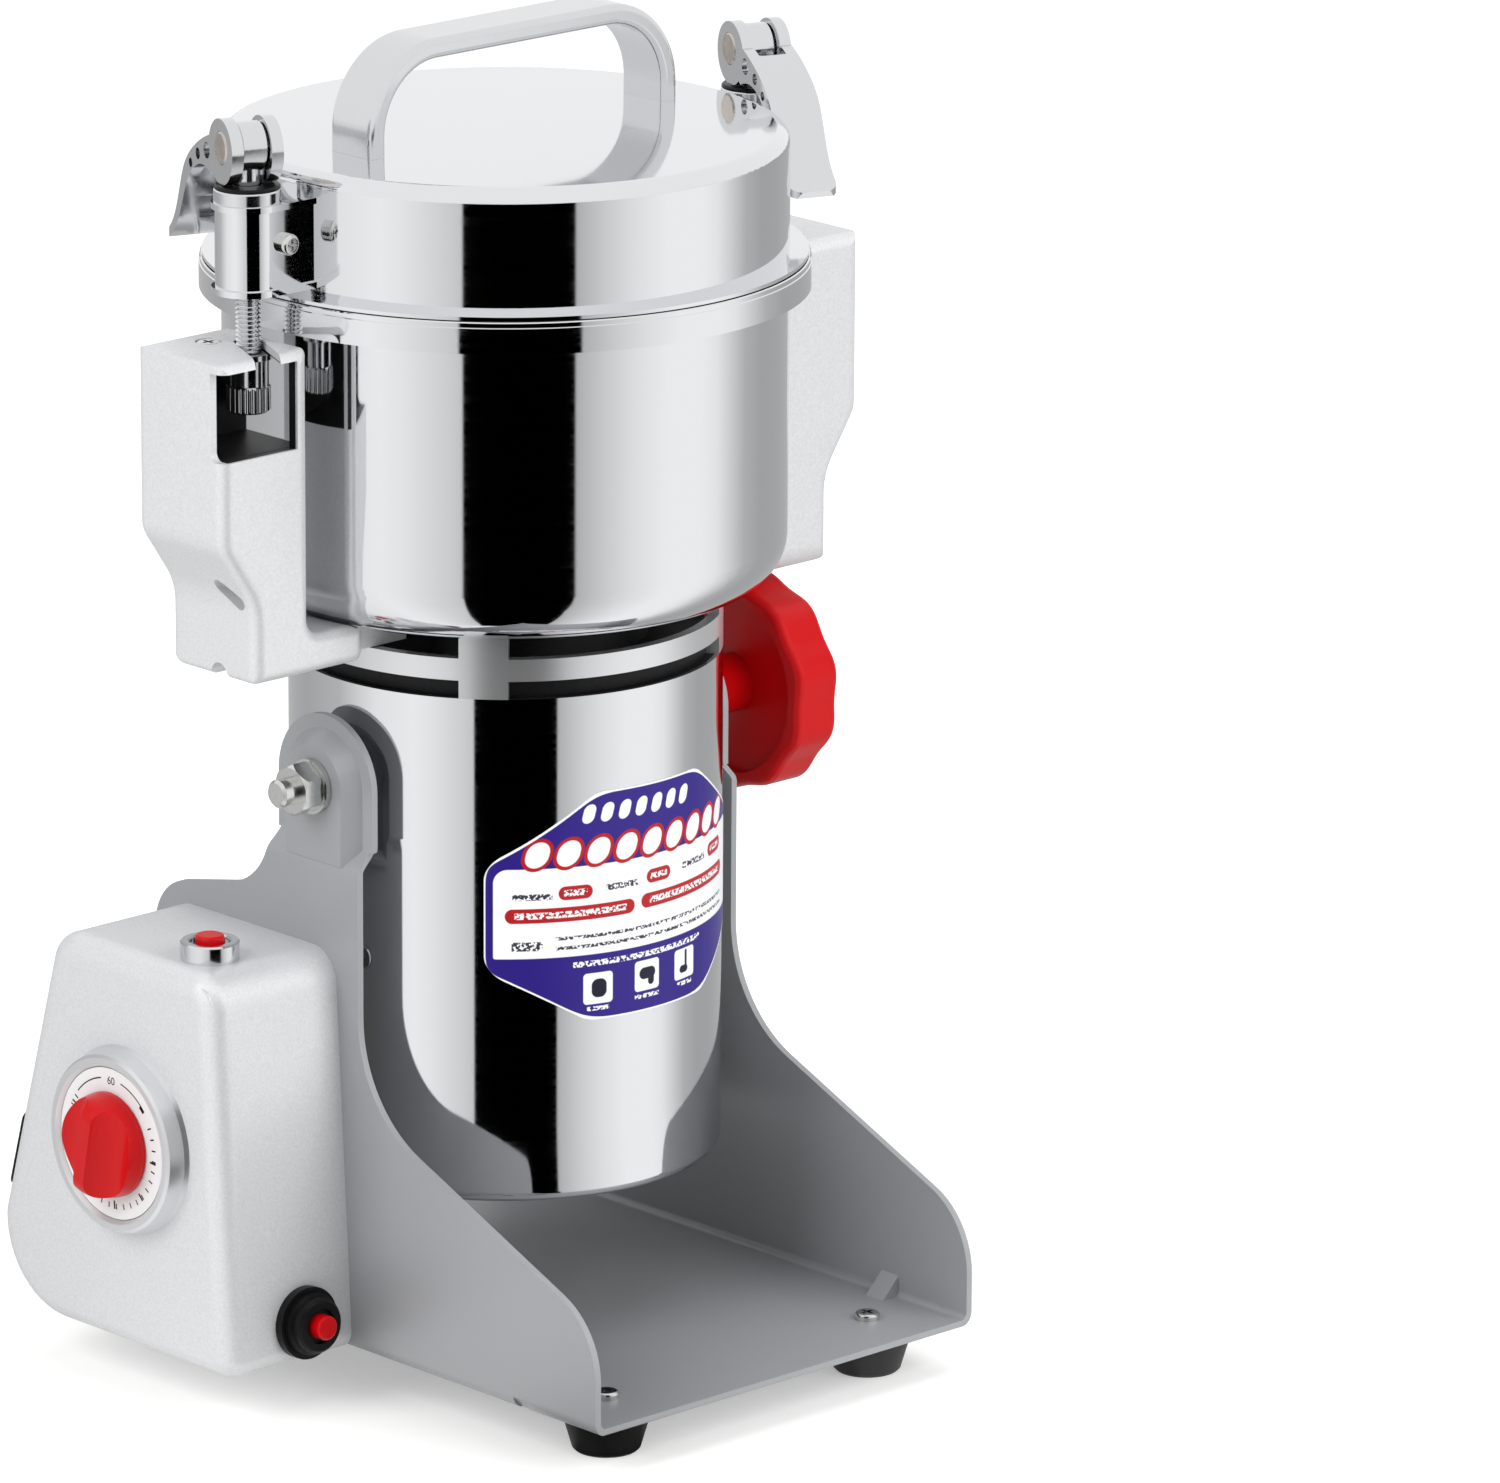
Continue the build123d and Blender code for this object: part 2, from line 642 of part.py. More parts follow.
# ---- feet ---------------------------------------------------------------------------------
def foot_places():
    """Centres of the four feet."""
    front = -FRAME_FRONT + FOOT_FRONT_INSET
    back = FRAME_BACK - FOOT_BACK_INSET
    return [(x, y) for x in (-FOOT_X, FOOT_X) for y in (front, back)]


def rubber_feet():
    """Tapered feet, each bored for its screw."""
    feet = []
    for x, y in foot_places():
        foot = turned([(0, 0), (FOOT_R_BASE - 0.8, 0), (FOOT_R_BASE, 0.8), (FOOT_R_TOP, FOOT_H - 1.2),
                       (FOOT_R_TOP - 0.6, FOOT_H), (0, FOOT_H)])
        feet.append(Pos(x, y, 0) * (foot - rod(FOOT_SCREW_R, FOOT_H - FOOT_SCREW_L, FOOT_H + 1)))
    return feet


def foot_screws():
    """Pan-head screws through the tray into the feet."""
    screws = []
    for x, y in foot_places():
        shank = rod(FOOT_SCREW_R, FOOT_H - FOOT_SCREW_L, TRAY_TOP + 0.5, x, y)
        screws.append(pan_head(FOOT_HEAD_R, FOOT_HEAD_H, TRAY_TOP, x, y) + shank)
    return screws


def wire_grommet():
    """Flanged bush that leads the motor's wires through the plate."""
    outer = rod_x(GROMMET_R + GROMMET_LIP, -PLATE_IN, -PLATE_IN + GROMMET_LIP_T, GROMMET_Y, GROMMET_Z)
    neck = rod_x(GROMMET_R - RUN, -PLATE_OUT - GROMMET_LIP_T, -PLATE_IN, GROMMET_Y, GROMMET_Z)
    bore = rod_x(GROMMET_R * 0.45, -PLATE_OUT - 9, -PLATE_IN + 9, GROMMET_Y, GROMMET_Z)
    return outer + neck - bore


# ---- control box --------------------------------------------------------------------------
def box_outline(inset=0.0):
    """Side view of the control box as (y, z), moved in by a wall where asked."""
    points = [(BOX_FRONT_BASE_Y + inset, BOX_LOW + inset),
              (BOX_FRONT_TOP_Y + inset, BOX_TOP - inset),
              (BOX_BACK_TOP_Y - inset, BOX_TOP - inset),
              (BOX_BACK_BASE_Y - inset, BOX_LOW + BOX_KNEE_H),
              (BOX_BACK_BASE_Y - inset - 0.3, BOX_LOW + inset)]
    radii = [BOX_FRONT_BASE_R, BOX_TOP_R, BOX_TOP_R, 8, BOX_BACK_BASE_R]
    return rounded_polygon(points, [max(radius - inset, 1) for radius in radii])


def boss_places():
    """Screw bosses inside the control box as (y, z)."""
    inset = BOX_WALL + BOX_BOSS_R - 1
    return [(BOX_FRONT_TOP_Y + inset, BOX_TOP - inset - 1), (BOX_BACK_TOP_Y - inset, BOX_TOP - inset - 1),
            (BOX_BACK_BASE_Y - 39, BOX_LOW + inset), (BOX_BACK_BASE_Y - inset - 14, BOX_LOW + inset + 8)]


def control_box():
    """Cast housing open towards the plate, with its openings and bosses."""
    shape = slab_x(box_outline(), -PLATE_OUT, -BOX_OUT)
    shape = fillet(shape.faces().sort_by(Axis.X)[0].edges(), BOX_EDGE_R)
    shape -= slab_x(box_outline(BOX_WALL), -PLATE_OUT + 0.01, -BOX_OUT + BOX_WALL)
    for y, z in boss_places():
        shape += rod_x(BOX_BOSS_R, -PLATE_OUT, -BOX_OUT + BOX_WALL / 2, y, z)
        shape -= rod_x(BOX_SCREW_R, -PLATE_OUT + 1, -PLATE_OUT - 14, y, z)
    shape -= rod_x(TIMER_SHAFT_R + 2, -BOX_OUT - 1, -BOX_OUT + BOX_WALL + 1, DIAL_Y, DIAL_Z)
    shape -= rod(SWITCH_THREAD_R, BOX_TOP - BOX_WALL - 1, BOX_TOP + 1, -PLATE_OUT - SWITCH_X, SWITCH_Y)
    shape -= breaker_frame() * rod(BREAKER_THREAD_R, -2 * BOX_WALL, 1)
    shape -= inlet_frame() * Box(INLET_BODY_W + 0.4, INLET_BODY_H + 0.4, 4 * BOX_WALL)
    return shape


def box_screws():
    """Screws through the plate into the box's bosses, heads inside the frame."""
    screws = []
    for y, z in boss_places():
        head = Rot(0, 90, 0) * pan_head(3.4, 2.0, 0)
        shank = rod_x(BOX_SCREW_R, -PLATE_IN, -PLATE_OUT - 12, y, z)
        screws.append(Pos(-PLATE_IN, y, z) * head + shank)
    return screws


def dial_ring():
    """Raised ring round the timer's dial."""
    ring = turned([(DIAL_FACE_R + 0.2, 0), (DIAL_R, 0), (DIAL_R - 0.6, 1.4),
                   (DIAL_LIP_R + 0.8, DIAL_PROUD - 0.8), (DIAL_LIP_R, DIAL_PROUD),
                   (DIAL_FACE_R + 1.2, DIAL_PROUD),
                   (DIAL_FACE_R + 0.2, DIAL_PROUD - DIAL_RECESS)])
    return dial_frame() * ring


def dial_frame():
    """Plane on the box's outer face at the dial, facing out."""
    return Plane(origin=(-BOX_OUT, DIAL_Y, DIAL_Z), x_dir=(0, 1, 0), z_dir=(-1, 0, 0))


def dial_plate():
    """Round dial face with the timer shaft's hole, on a spacer that rests on the box."""
    low = DIAL_PROUD - DIAL_RECESS - DIAL_FACE_T
    face = tube(DIAL_FACE_R, TIMER_SHAFT_R + 1.2, low, low + DIAL_FACE_T)
    spacer = tube(DIAL_FACE_R - 2, TIMER_SHAFT_R + 6, 0, low)
    return dial_frame() * (face + spacer)


def timer_knob():
    """Domed knob with two hollows that leave a fin to hold, and a moulded spindle."""
    low = KNOB_LOW
    top = low + KNOB_H
    dome = turned([(0, low), (KNOB_R, low), (KNOB_R, low + KNOB_RIM_H), (KNOB_TOP_R, top), (0, top)])
    dome = fillet(dome.edges().group_by(Axis.Z)[-1], KNOB_DOME_R)
    for side in (-SCOOP_APART, SCOOP_APART):
        dome -= rod_x(SCOOP_R, -2 * KNOB_R, 2 * KNOB_R, side, low + SCOOP_UP)
    spindle = rod(TIMER_SHAFT_R, -BOX_WALL - 8, low + 1)
    return dial_frame() * (Rot(0, 0, KNOB_TURN) * dome + spindle)


def timer_body():
    """Clockwork timer and switch behind the box's outer wall."""
    back = -BOX_WALL
    case = Pos(0, 0, back - TIMER_BODY_T / 2) * Box(TIMER_BODY, TIMER_BODY, TIMER_BODY_T)
    case = fillet(case.edges().filter_by(Axis.Z), 5)
    case -= rod(TIMER_SHAFT_R + RUN, back - 12, back + 1)
    return dial_frame() * case


def power_switch():
    """Panel switch: polished collar above the box's top, body and button guide below it."""
    x = -PLATE_OUT - SWITCH_X
    under = BOX_TOP - BOX_WALL
    collar = tube(COLLAR_R, COLLAR_BORE_R, BOX_TOP, BOX_TOP + COLLAR_H, x, SWITCH_Y)
    collar = chamfer(collar.edges().group_by(Axis.Z)[-1], 0.5)
    guide = rod(COLLAR_BORE_R + 0.2, BOX_TOP, BOX_TOP + COLLAR_H - 2.5, x, SWITCH_Y)
    guide += rod(SWITCH_THREAD_R, under - 1, BOX_TOP + 1, x, SWITCH_Y)
    case = rod(SWITCH_BODY_R, under - SWITCH_BODY_H, under, x, SWITCH_Y)
    bore = rod(BUTTON_R + RUN, BOX_TOP - BUTTON_TRAVEL - 1, BOX_TOP + 9, x, SWITCH_Y)
    stem = rod(1.5 + RUN, under - 8, BOX_TOP, x, SWITCH_Y)
    return collar + guide + case - bore - stem


def power_button():
    """Red button with the stem that works the switch."""
    x = -PLATE_OUT - SWITCH_X
    top = BOX_TOP + COLLAR_H + BUTTON_PROUD
    cap = rod(BUTTON_R, BOX_TOP - 0.5, top, x, SWITCH_Y)
    cap = fillet(cap.edges().group_by(Axis.Z)[-1], 0.9)
    return cap + rod(1.5, BOX_TOP - BOX_WALL - 3, BOX_TOP, x, SWITCH_Y)


def breaker_frame():
    """Plane on the box's front face at the breaker, facing out."""
    lean = (BOX_FRONT_TOP_Y - BOX_FRONT_BASE_Y) / BOX_HEIGHT
    y = BOX_FRONT_BASE_Y + lean * BREAKER_H
    return Plane(origin=(-PLATE_OUT - BREAKER_X, y, BREAKER_Z), x_dir=(1, 0, 0), z_dir=(0, -1, lean))


def reset_breaker():
    """Overload breaker: ribbed nut and stepped barrel outside the box, body behind its wall."""
    end = BEZEL_T + BARREL_L
    nut = rod(BEZEL_R, 0, BEZEL_T)
    step = turned([(0, BEZEL_T), (BEZEL_R - 1.4, BEZEL_T), (BEZEL_R - 1.4, BEZEL_T + 1.6),
                   (BARREL_R, BEZEL_T + 2.2), (BARREL_R, end - 0.7), (BARREL_R - 0.7, end), (0, end)])
    neck = rod(BREAKER_THREAD_R, -BOX_WALL - 2, 1)
    case = Pos(0, 1.5, -BOX_WALL - 1 - BREAKER_BODY_L / 2) * Box(15, 15, BREAKER_BODY_L)
    recess = rod(BREAKER_MOUTH_R, end - 1.2, end + 1)
    bore = rod(RESET_R + RUN, end - RESET_TRAVEL - 4.6, end + 1)
    return breaker_frame() * (nut + step + neck + case - recess - bore)


def reset_button():
    """Red reset button standing out of the breaker."""
    top = BEZEL_T + BARREL_L + RESET_PROUD
    cap = rod(RESET_R, BEZEL_T + BARREL_L - 4.4, top)
    return breaker_frame() * fillet(cap.edges().group_by(Axis.Z)[-1], 0.8)


def inlet_frame():
    """Plane on the box's sloping back face at the power inlet, facing out."""
    rise = BOX_HEIGHT - BOX_KNEE_H
    run = BOX_BACK_BASE_Y - BOX_BACK_TOP_Y
    share = (INLET_Z - BOX_KNEE_H) / rise
    y = BOX_BACK_BASE_Y - run * share
    return Plane(origin=(-PLATE_OUT - INLET_X, y, BOX_LOW + INLET_Z), x_dir=(1, 0, 0), z_dir=(0, rise, run))


def power_inlet():
    """Three-pole appliance inlet: flange outside the box, body inside, three flat pins."""
    flange = Pos(0, 0, INLET_T / 2) * Box(INLET_W, INLET_H, INLET_T)
    flange = fillet(flange.edges().filter_by(Axis.Z), 2.5)
    case = Pos(0, 0, -INLET_BODY_L / 2) * Box(INLET_BODY_W, INLET_BODY_H, INLET_BODY_L)
    depth = INLET_MOUTH_DEPTH
    half_w = INLET_MOUTH_W / 2
    half_h = INLET_MOUTH_H / 2
    outline = make_face(Polyline((-half_w, -half_h), (half_w, -half_h), (half_w, half_h - 5),
                                 (half_w - 5, half_h), (5 - half_w, half_h), (-half_w, half_h - 5),
                                 close=True))
    mouth = Pos(0, 0, INLET_T - depth) * extrude(outline, depth + 1)
    shape = flange + case - mouth
    for x, y in ((-7, -2), (0, 2), (7, -2)):
        shape += Pos(x, y, INLET_T - depth + 5) * Box(2.0, 4.0, 12.0)
    return inlet_frame() * shape


# ---- motor tube ---------------------------------------------------------------------------
def motor_tube():
    """Polished tube with a rolled lower lip and a boss welded in each side for the pivot."""
    low, lip = TUBE_BOTTOM, TUBE_LIP_R
    wall = tube(TUBE_R, TUBE_IN, low + lip, TUBE_TOP)
    roll = Pos(0, 0, low + lip) * (Torus(TUBE_R - lip, lip) - Torus(TUBE_R - lip, lip - TUBE_WALL))
    roll &= tube(TUBE_R + 1, TUBE_R - lip, low - 1, low + lip)
    shape = wall + roll
    for sign in (-1, 1):
        shape += rod_x(BOSS_R, sign * (TUBE_IN - 3), sign * (TUBE_R + BOSS_PROUD), 0, PIVOT_H)
        shape -= rod_x(STUD_R, sign * (TUBE_R - 30), sign * (TUBE_R + 9), 0, PIVOT_H)
    return shape


def bottom_cover():
    """Slotted disc that closes the tube below the motor."""
    low = COVER_LOW
    shape = rod(CORE_R, low, low + COVER_T)
    slot = extrude(SlotOverall(9, 3.2), COVER_T + 2)
    for ring_r, count in ((18, 6), (30, 12), (52, 18)):
        for index in range(count):
            shape -= Rot(0, 0, index * 360 / count) * (Pos(ring_r, 0, low - 1) * slot)
    for angle in COVER_SCREW_ANGLES:
        shape -= Rot(0, 0, angle) * rod(SCREW_R + HOLE_EXTRA, low - 1, low + COVER_T + 1, COVER_SCREW_PCR)
    return shape


def mill_screws():
    """Equal screws that hold the bottom cover, the arms and the bowl."""
    def screw(reach):
        return pan_head(SCREW_HEAD_R, SCREW_HEAD_H, 0) + rod(SCREW_R, -reach, 0.5)

    low = COVER_LOW
    screws = []
    for angle in COVER_SCREW_ANGLES:
        screws.append(Rot(0, 0, angle) * (Pos(COVER_SCREW_PCR, 0, low) * (Rot(180, 0, 0) * screw(8))))
    for x, y in tongue_screw_places():
        screws.append(Pos(x, y, TONGUE_SEAT) * screw(8))
    for angle in PLATE_SCREW_ANGLES:
        screws.append(Rot(0, 0, angle) * (Pos(PLATE_PCR, 0, HUB_PLATE_TOP) * screw(12)))
    return screws


def lower_shield():
    """Cast spider that carries the lower bearing and stands on the bottom cover."""
    base = SHIELD_Z
    under = COVER_LOW + COVER_T
    shape = tube(CORE_R, CORE_R - 5, base, base + SHIELD_T)
    shape += rod(BEARING_R + 5, base, base + BEARING_T + 3)
    for angle in COVER_SCREW_ANGLES:
        turn = Rot(0, 0, angle)
        shape += turn * block(0, CORE_R - 2, -5, 5, base, base + 5)
        shape += turn * rod(5, under, base + 5, COVER_SCREW_PCR)
    for angle in COVER_SCREW_ANGLES:
        shape -= Rot(0, 0, angle) * rod(SCREW_R, under - 1, base + 9, COVER_SCREW_PCR)
    shape -= rod(BEARING_R, LOWER_BEARING_Z, CORE_Z)
    return shape - rod(SHAFT_LOW_R + 2, base - 5, base + 5)


def lower_bearing():
    """Ball bearing at the foot of the shaft."""
    return tube(BEARING_R, SHAFT_LOW_R + RUN, LOWER_BEARING_Z, LOWER_BEARING_Z + BEARING_T)


def stator():
    """Laminated field core pressed in the tube: a ring and two poles with wide shoes."""
    shape = tube(CORE_R, YOKE_R, CORE_Z, CORE_TOP)
    shoes = tube(CORE_BORE_R + POLE_SHOE, CORE_BORE_R, CORE_Z, CORE_TOP)
    spread = YOKE_R * tan(radians(POLE_SPAN / 2))
    wedge = make_face(Polyline((0, 0), (YOKE_R, spread), (YOKE_R, -spread), close=True))
    shoe = shoes & (Pos(0, 0, CORE_Z) * extrude(wedge, CORE_H))
    pole = block(CORE_BORE_R + POLE_SHOE / 2, YOKE_R + 1, -POLE_HALF, POLE_HALF, CORE_Z, CORE_TOP)
    for angle in (90, 270):
        shape += Rot(0, 0, angle) * (shoe + pole)
    return shape


def field_coils():
    """The two field windings, each wound round its pole."""
    coils = []
    inner = CORE_BORE_R + POLE_SHOE + GAP
    half = POLE_HALF + COIL_W
    for angle in (90, 270):
        coil = block(inner, YOKE_R, -half, half, CORE_Z - COIL_H, CORE_TOP + COIL_H)
        coil = coil & rod(YOKE_R - GAP, CORE_Z - COIL_H, CORE_TOP + COIL_H)
        coil -= block(inner - 1, YOKE_R + 1, -POLE_HALF, POLE_HALF, CORE_Z, CORE_TOP)
        coils.append(Rot(0, 0, angle) * coil)
    return coils


def brush_holders():
    """Insulated tubes that guide the brushes, standing on the lower shield."""
    holders = []
    for angle in (0, 180):
        start = COMM_R + 3
        top = BRUSH_Z + 7
        holder = block(start, start + BRUSH_L, -BRUSH_W, BRUSH_W, BRUSH_Z - 7, top)
        post = block(start + BRUSH_L - 2, CORE_R - 0.6, -BRUSH_W, BRUSH_W, SHIELD_Z + SHIELD_T, top)
        guide = block(start - 1, start + BRUSH_L - 4, -BRUSH_W / 2, BRUSH_W / 2, BRUSH_Z - 5, BRUSH_Z + 5)
        holders.append(Rot(0, 0, angle) * (holder + post - guide))
    return holders


def carbon_brushes():
    """Carbon blocks that bear on the commutator."""
    brushes = []
    for angle in (0, 180):
        end = COMM_R + 3 + BRUSH_L - 4
        brush = block(COMM_R + SEAT, end, -BRUSH_W / 2, BRUSH_W / 2, BRUSH_Z - 5, BRUSH_Z + 5)
        brushes.append(Rot(0, 0, angle) * brush)
    return brushes


def end_bell():
    """Cast top shield: spigot in the tube, bearing seat and the hub that carries the bowl."""
    disc = turned([(HUB_R, TUBE_TOP), (END_BELL_R, TUBE_TOP), (END_BELL_R, TUBE_TOP + END_BELL_T),
                   (HUB_R + 6, TUBE_TOP + END_BELL_T), (HUB_R, BOWL_BOTTOM), (HUB_R - 8, BOWL_BOTTOM),
                   (HUB_R - 8, TUBE_TOP)])
    spigot = tube(CORE_R, CORE_R - 4, TUBE_TOP - SPIGOT_H, TUBE_TOP)
    hub = rod(HUB_R, TOP_BEARING_Z - 3, BOWL_BOTTOM)
    shape = disc + spigot + hub
    for sign in (-1, 1):
        pad = block(sign * (HUB_R - 4), sign * (END_BELL_R - 1), -TONGUE_HALF, TONGUE_HALF,
                    TUBE_TOP, TONGUE_LOW)
        shape += pad
    for index in range(8):
        vent = Rot(0, 0, 22.5 + index * 45) * (Pos(47, 0, TUBE_TOP) * Cylinder(4, 30))
        shape -= vent
    shape -= rod(TOP_BEARING_R, TOP_BEARING_Z - 4, TOP_BEARING_Z + TOP_BEARING_T)
    shape -= rod(SHAFT_R + 3, TOP_BEARING_Z - 9, BOWL_BOTTOM + 1)
    for x, y in tongue_screw_places():
        shape -= rod(SCREW_R, TUBE_TOP, TONGUE_LOW + 1, x, y)
    for angle in PLATE_SCREW_ANGLES:
        shape -= Rot(0, 0, angle) * rod(SCREW_R, BOWL_BOTTOM - 9, BOWL_BOTTOM + 1, PLATE_PCR)
    return shape


def tongue_screw_places():
    """Screws through the arms' tongues."""
    return [(sign * (END_BELL_R - 5), y) for sign in (-1, 1) for y in (-6, 6)]


def upper_bearing():
    """Ball bearing under the bowl."""
    return tube(TOP_BEARING_R, SHAFT_R + RUN, TOP_BEARING_Z, TOP_BEARING_Z + TOP_BEARING_T)


def cooling_band():
    """Polished band and its four ribs, between the motor tube and the bowl."""
    shape = tube(TUBE_R, TUBE_R - BAND_T, BAND_BOTTOM, BAND_TOP)
    upright = tube(TUBE_R, END_BELL_R, TUBE_TOP, BOWL_BOTTOM)
    for index in range(4):
        turn = Rot(0, 0, RIB_TURN + index * 90)
        rib = block(0, 2 * TUBE_R, -RIB_W / 2, RIB_W / 2, TUBE_TOP, BOWL_BOTTOM)
        shape += upright & (turn * rib)
    return shape


# ---- bowl ---------------------------------------------------------------------------------
def bowl():
    """Spun bowl with a rounded foot and a rim that is rolled out and down."""
    corner = BOWL_CORNER_R
    wall = BOWL_WALL
    low, seat, top = BOWL_BOTTOM, RIM_SEAT, BOWL_RIM
    outer_start = (SHAFT_HOLE_R, low)
    with_corner = Polyline(outer_start, (BOWL_R - corner, low))
    outer_arc = quarter(BOWL_R - corner, low + corner, corner, -1)
    inner_arc = quarter(BOWL_R - corner, low + corner, corner - wall, -1)
    rim = Polyline((BOWL_R, low + corner), (BOWL_R, seat - 3.2), (RIM_R - 1.2, seat - 3.2),
                   (RIM_R - 1.2, top - RIM_SKIRT_H), (RIM_R, top - RIM_SKIRT_H), (RIM_R, top - 1.7),
                   (RIM_R - 0.3, top - 1.5), (RIM_R - 0.3, top - 0.3), (RIM_R - 0.6, top),
                   (RIM_R - RIM_CURB_W, top), (RIM_R - RIM_CURB_W, seat), (BOWL_IN, seat),
                   (BOWL_IN, low + corner))
    floor = Polyline((BOWL_R - corner, low + wall), (SHAFT_HOLE_R, low + wall), outer_start)
    shape = turned_curves(with_corner, outer_arc, rim, inner_arc, floor)
    for angle in PLATE_SCREW_ANGLES:
        shape -= Rot(0, 0, angle) * rod(SCREW_R + HOLE_EXTRA, low - 1, low + wall + 1, PLATE_PCR)
    return shape


def hub_plate():
    """Round plate inside the bowl that clamps its floor to the end bell."""
    shape = tube(PLATE_R, SEAL_R, BOWL_FLOOR, HUB_PLATE_TOP)
    shape = chamfer(shape.edges().group_by(Axis.Z)[-1].sort_by(SortBy.LENGTH)[-1], 1)
    for angle in PLATE_SCREW_ANGLES:
        shape -= Rot(0, 0, angle) * rod(SCREW_R + HOLE_EXTRA, BOWL_FLOOR - 1, HUB_PLATE_TOP + 1, PLATE_PCR)
    return shape


def shaft_seal():
    """Felt and rubber seal round the shaft where it enters the bowl."""
    return tube(SEAL_R, SHAFT_R + RUN, BOWL_BOTTOM + 0.2, HUB_PLATE_TOP)


# ---- arms ---------------------------------------------------------------------------------
def arm_profile(foot):
    """Front view of the left arm as (x, z), its foot ending at a height."""
    step_x = -ARM_OUT + ARM_STEP_X
    foot_top = BOWL_BOTTOM - TONGUE_TOP_GAP + 3.0
    points = [(-ARM_OUT, ARM_TOP), (-ARM_OUT, ARM_STEP_TOP), (step_x, ARM_STEP_BASE),
              (step_x, foot), (-ARM_FOOT_END, foot), (-ARM_FOOT_END, foot_top),
              (-ARM_IN, foot_top), (-ARM_IN, ARM_TOP)]
    radii = [0, 9, 18, 2, 3, 2.5, ARM_HOLLOW_R, 0.8]
    return rounded_polygon(points, radii)


def arm(foot):
    """Left cast arm: slotted web and nut pocket at the top, foot and tongue at the bottom."""
    body = slab_y(arm_profile(foot), ARM_HALF, -ARM_HALF)
    edges = [edge for edge in body.edges() if abs(abs(edge.center().Y) - ARM_HALF) < 0.01
             and edge.center().X < -ARM_IN - 1 and foot + 1 < edge.center().Z < ARM_TOP - 1]
    body = fillet(edges, ARM_EDGE_R)
    side = [(-ARM_HALF, foot), (-ARM_HALF, ARM_TOP + 1), (ARM_HALF, ARM_TOP + 1), (ARM_HALF, foot)]
    body = body & slab_x(rounded_polygon(side, [3, 0, 0, ARM_FOOT_R]), -ARM_OUT - 1, -TONGUE_END + 1)
    body -= rod(BOWL_R + 1.2, BOWL_BOTTOM + 4, ARM_TOP + 1)
    body -= bowl_room()
    body += tongue()
    body -= nut_pocket()
    body -= web_slot()
    body -= arm_details(foot)
    return body


def arms():
    """Both arms: the right one is the left one turned half way round, with a lower foot."""
    left = arm(ARM_FOOT_BOTTOM)
    right = Rot(0, 0, 180) * arm(ARM_FOOT_BOTTOM - ARM_FOOT_MORE)
    return [left, right]


def bowl_room():
    """Space for the bowl's rounded foot."""
    corner = BOWL_CORNER_R + 1.2
    outer = BOWL_R + 1.2
    low = BOWL_BOTTOM - TONGUE_TOP_GAP
    disc = rod(outer, low, low + 40)
    return fillet(disc.edges().group_by(Axis.Z)[0], corner - 1)


def tongue():
    """Flat tongue that reaches under the bowl to the end bell."""
    top = BOWL_BOTTOM - TONGUE_TOP_GAP
    shape = block(-ARM_FOOT_END - 3, -TONGUE_END, -TONGUE_HALF, TONGUE_HALF, TONGUE_LOW, top)
    for x, y in tongue_screw_places()[:2]:
        shape -= rod(SCREW_R + HOLE_EXTRA, TONGUE_LOW - 1, top + 1, x, y)
        shape -= rod(SCREW_HEAD_R + 0.3, TONGUE_SEAT, top + 1, x, y)
    return shape


def nut_pocket():
    """Room for the knurled nut, with a window to the front that runs round the outer corner."""
    low, high = WEB_UNDER - POCKET_H, WEB_UNDER
    outer_x = -ARM_OUT + POCKET_WALL
    room = block(outer_x, -ARM_IN + 5, -ARM_HALF + JAMB_T, POCKET_BACK, low, high)
    room = fillet(room.edges().filter_by(Axis.Z).group_by(Axis.Y)[-1], 3)
    wrap_y = -ARM_HALF + POCKET_WRAP
    window = block(-ARM_OUT - 5, -ARM_IN - JAMB_W, -ARM_HALF - 5, wrap_y, low, high)
    window = fillet(window.edges().filter_by(Axis.X).group_by(Axis.Z)[0].sort_by(Axis.Y)[-1], 2.5)
    return room + window


def web_slot():
    """Open slot that leads the bolt into the web from the front."""
    half = BOLT_R + SLOT_SIDE
    slot = block(-half, half, -2 * ARM_HALF, 0, WEB_UNDER - 1, ARM_TOP + 1)
    slot += rod(half, WEB_UNDER - 1, ARM_TOP + 1)
    return Pos(-CLAMP_X, 0, 0) * (Rot(0, 0, -SLOT_YAW) * slot)


def arm_details(foot):
    """Screw recess on top, slanted recess in the step, and the notch at the bottom."""
    cut = rod(ARM_SCREW_R + 0.3, ARM_TOP - 1.6, ARM_TOP + 1, *ARM_SCREW_AT)
    cut += rod(1.6, ARM_TOP - 14, ARM_TOP, *ARM_SCREW_AT)
    slot = Rot(0, 0, 35) * SlotOverall(11.0, 4.4)
    cut += slab_x(Pos(-9.2, ARM_STEP_BASE + 2.2) * slot, -ARM_OUT - 1, -ARM_OUT + ARM_STEP_X + 3.5)
    cut += rod_x(3.3, -ARM_OUT - 1, -ARM_OUT + ARM_STEP_X + 6, -2.3, foot + 0.6)
    return cut


def arm_screws():
    """Recessed screws in the tops of the arms."""
    screw = pan_head(ARM_SCREW_R, 1.5, ARM_TOP - 1.6, *ARM_SCREW_AT)
    screw += rod(1.6, ARM_TOP - 13, ARM_TOP - 1.2, *ARM_SCREW_AT)
    return both_sides(screw)


# ---- lid ----------------------------------------------------------------------------------
def lid_gasket():
    """Flat ring on the rim's seat with a skirt inside the bowl's mouth."""
    seat = RIM_SEAT + SEAT
    under = LID_UNDER - SEAT
    edge = RIM_R - RIM_CURB_W - GAP
    return turned([(BOWL_IN - 2.4, seat - 6), (BOWL_IN - GAP, seat - 6), (BOWL_IN - GAP, seat),
                   (edge, seat), (edge, under), (BOWL_IN - 2.4, under)])


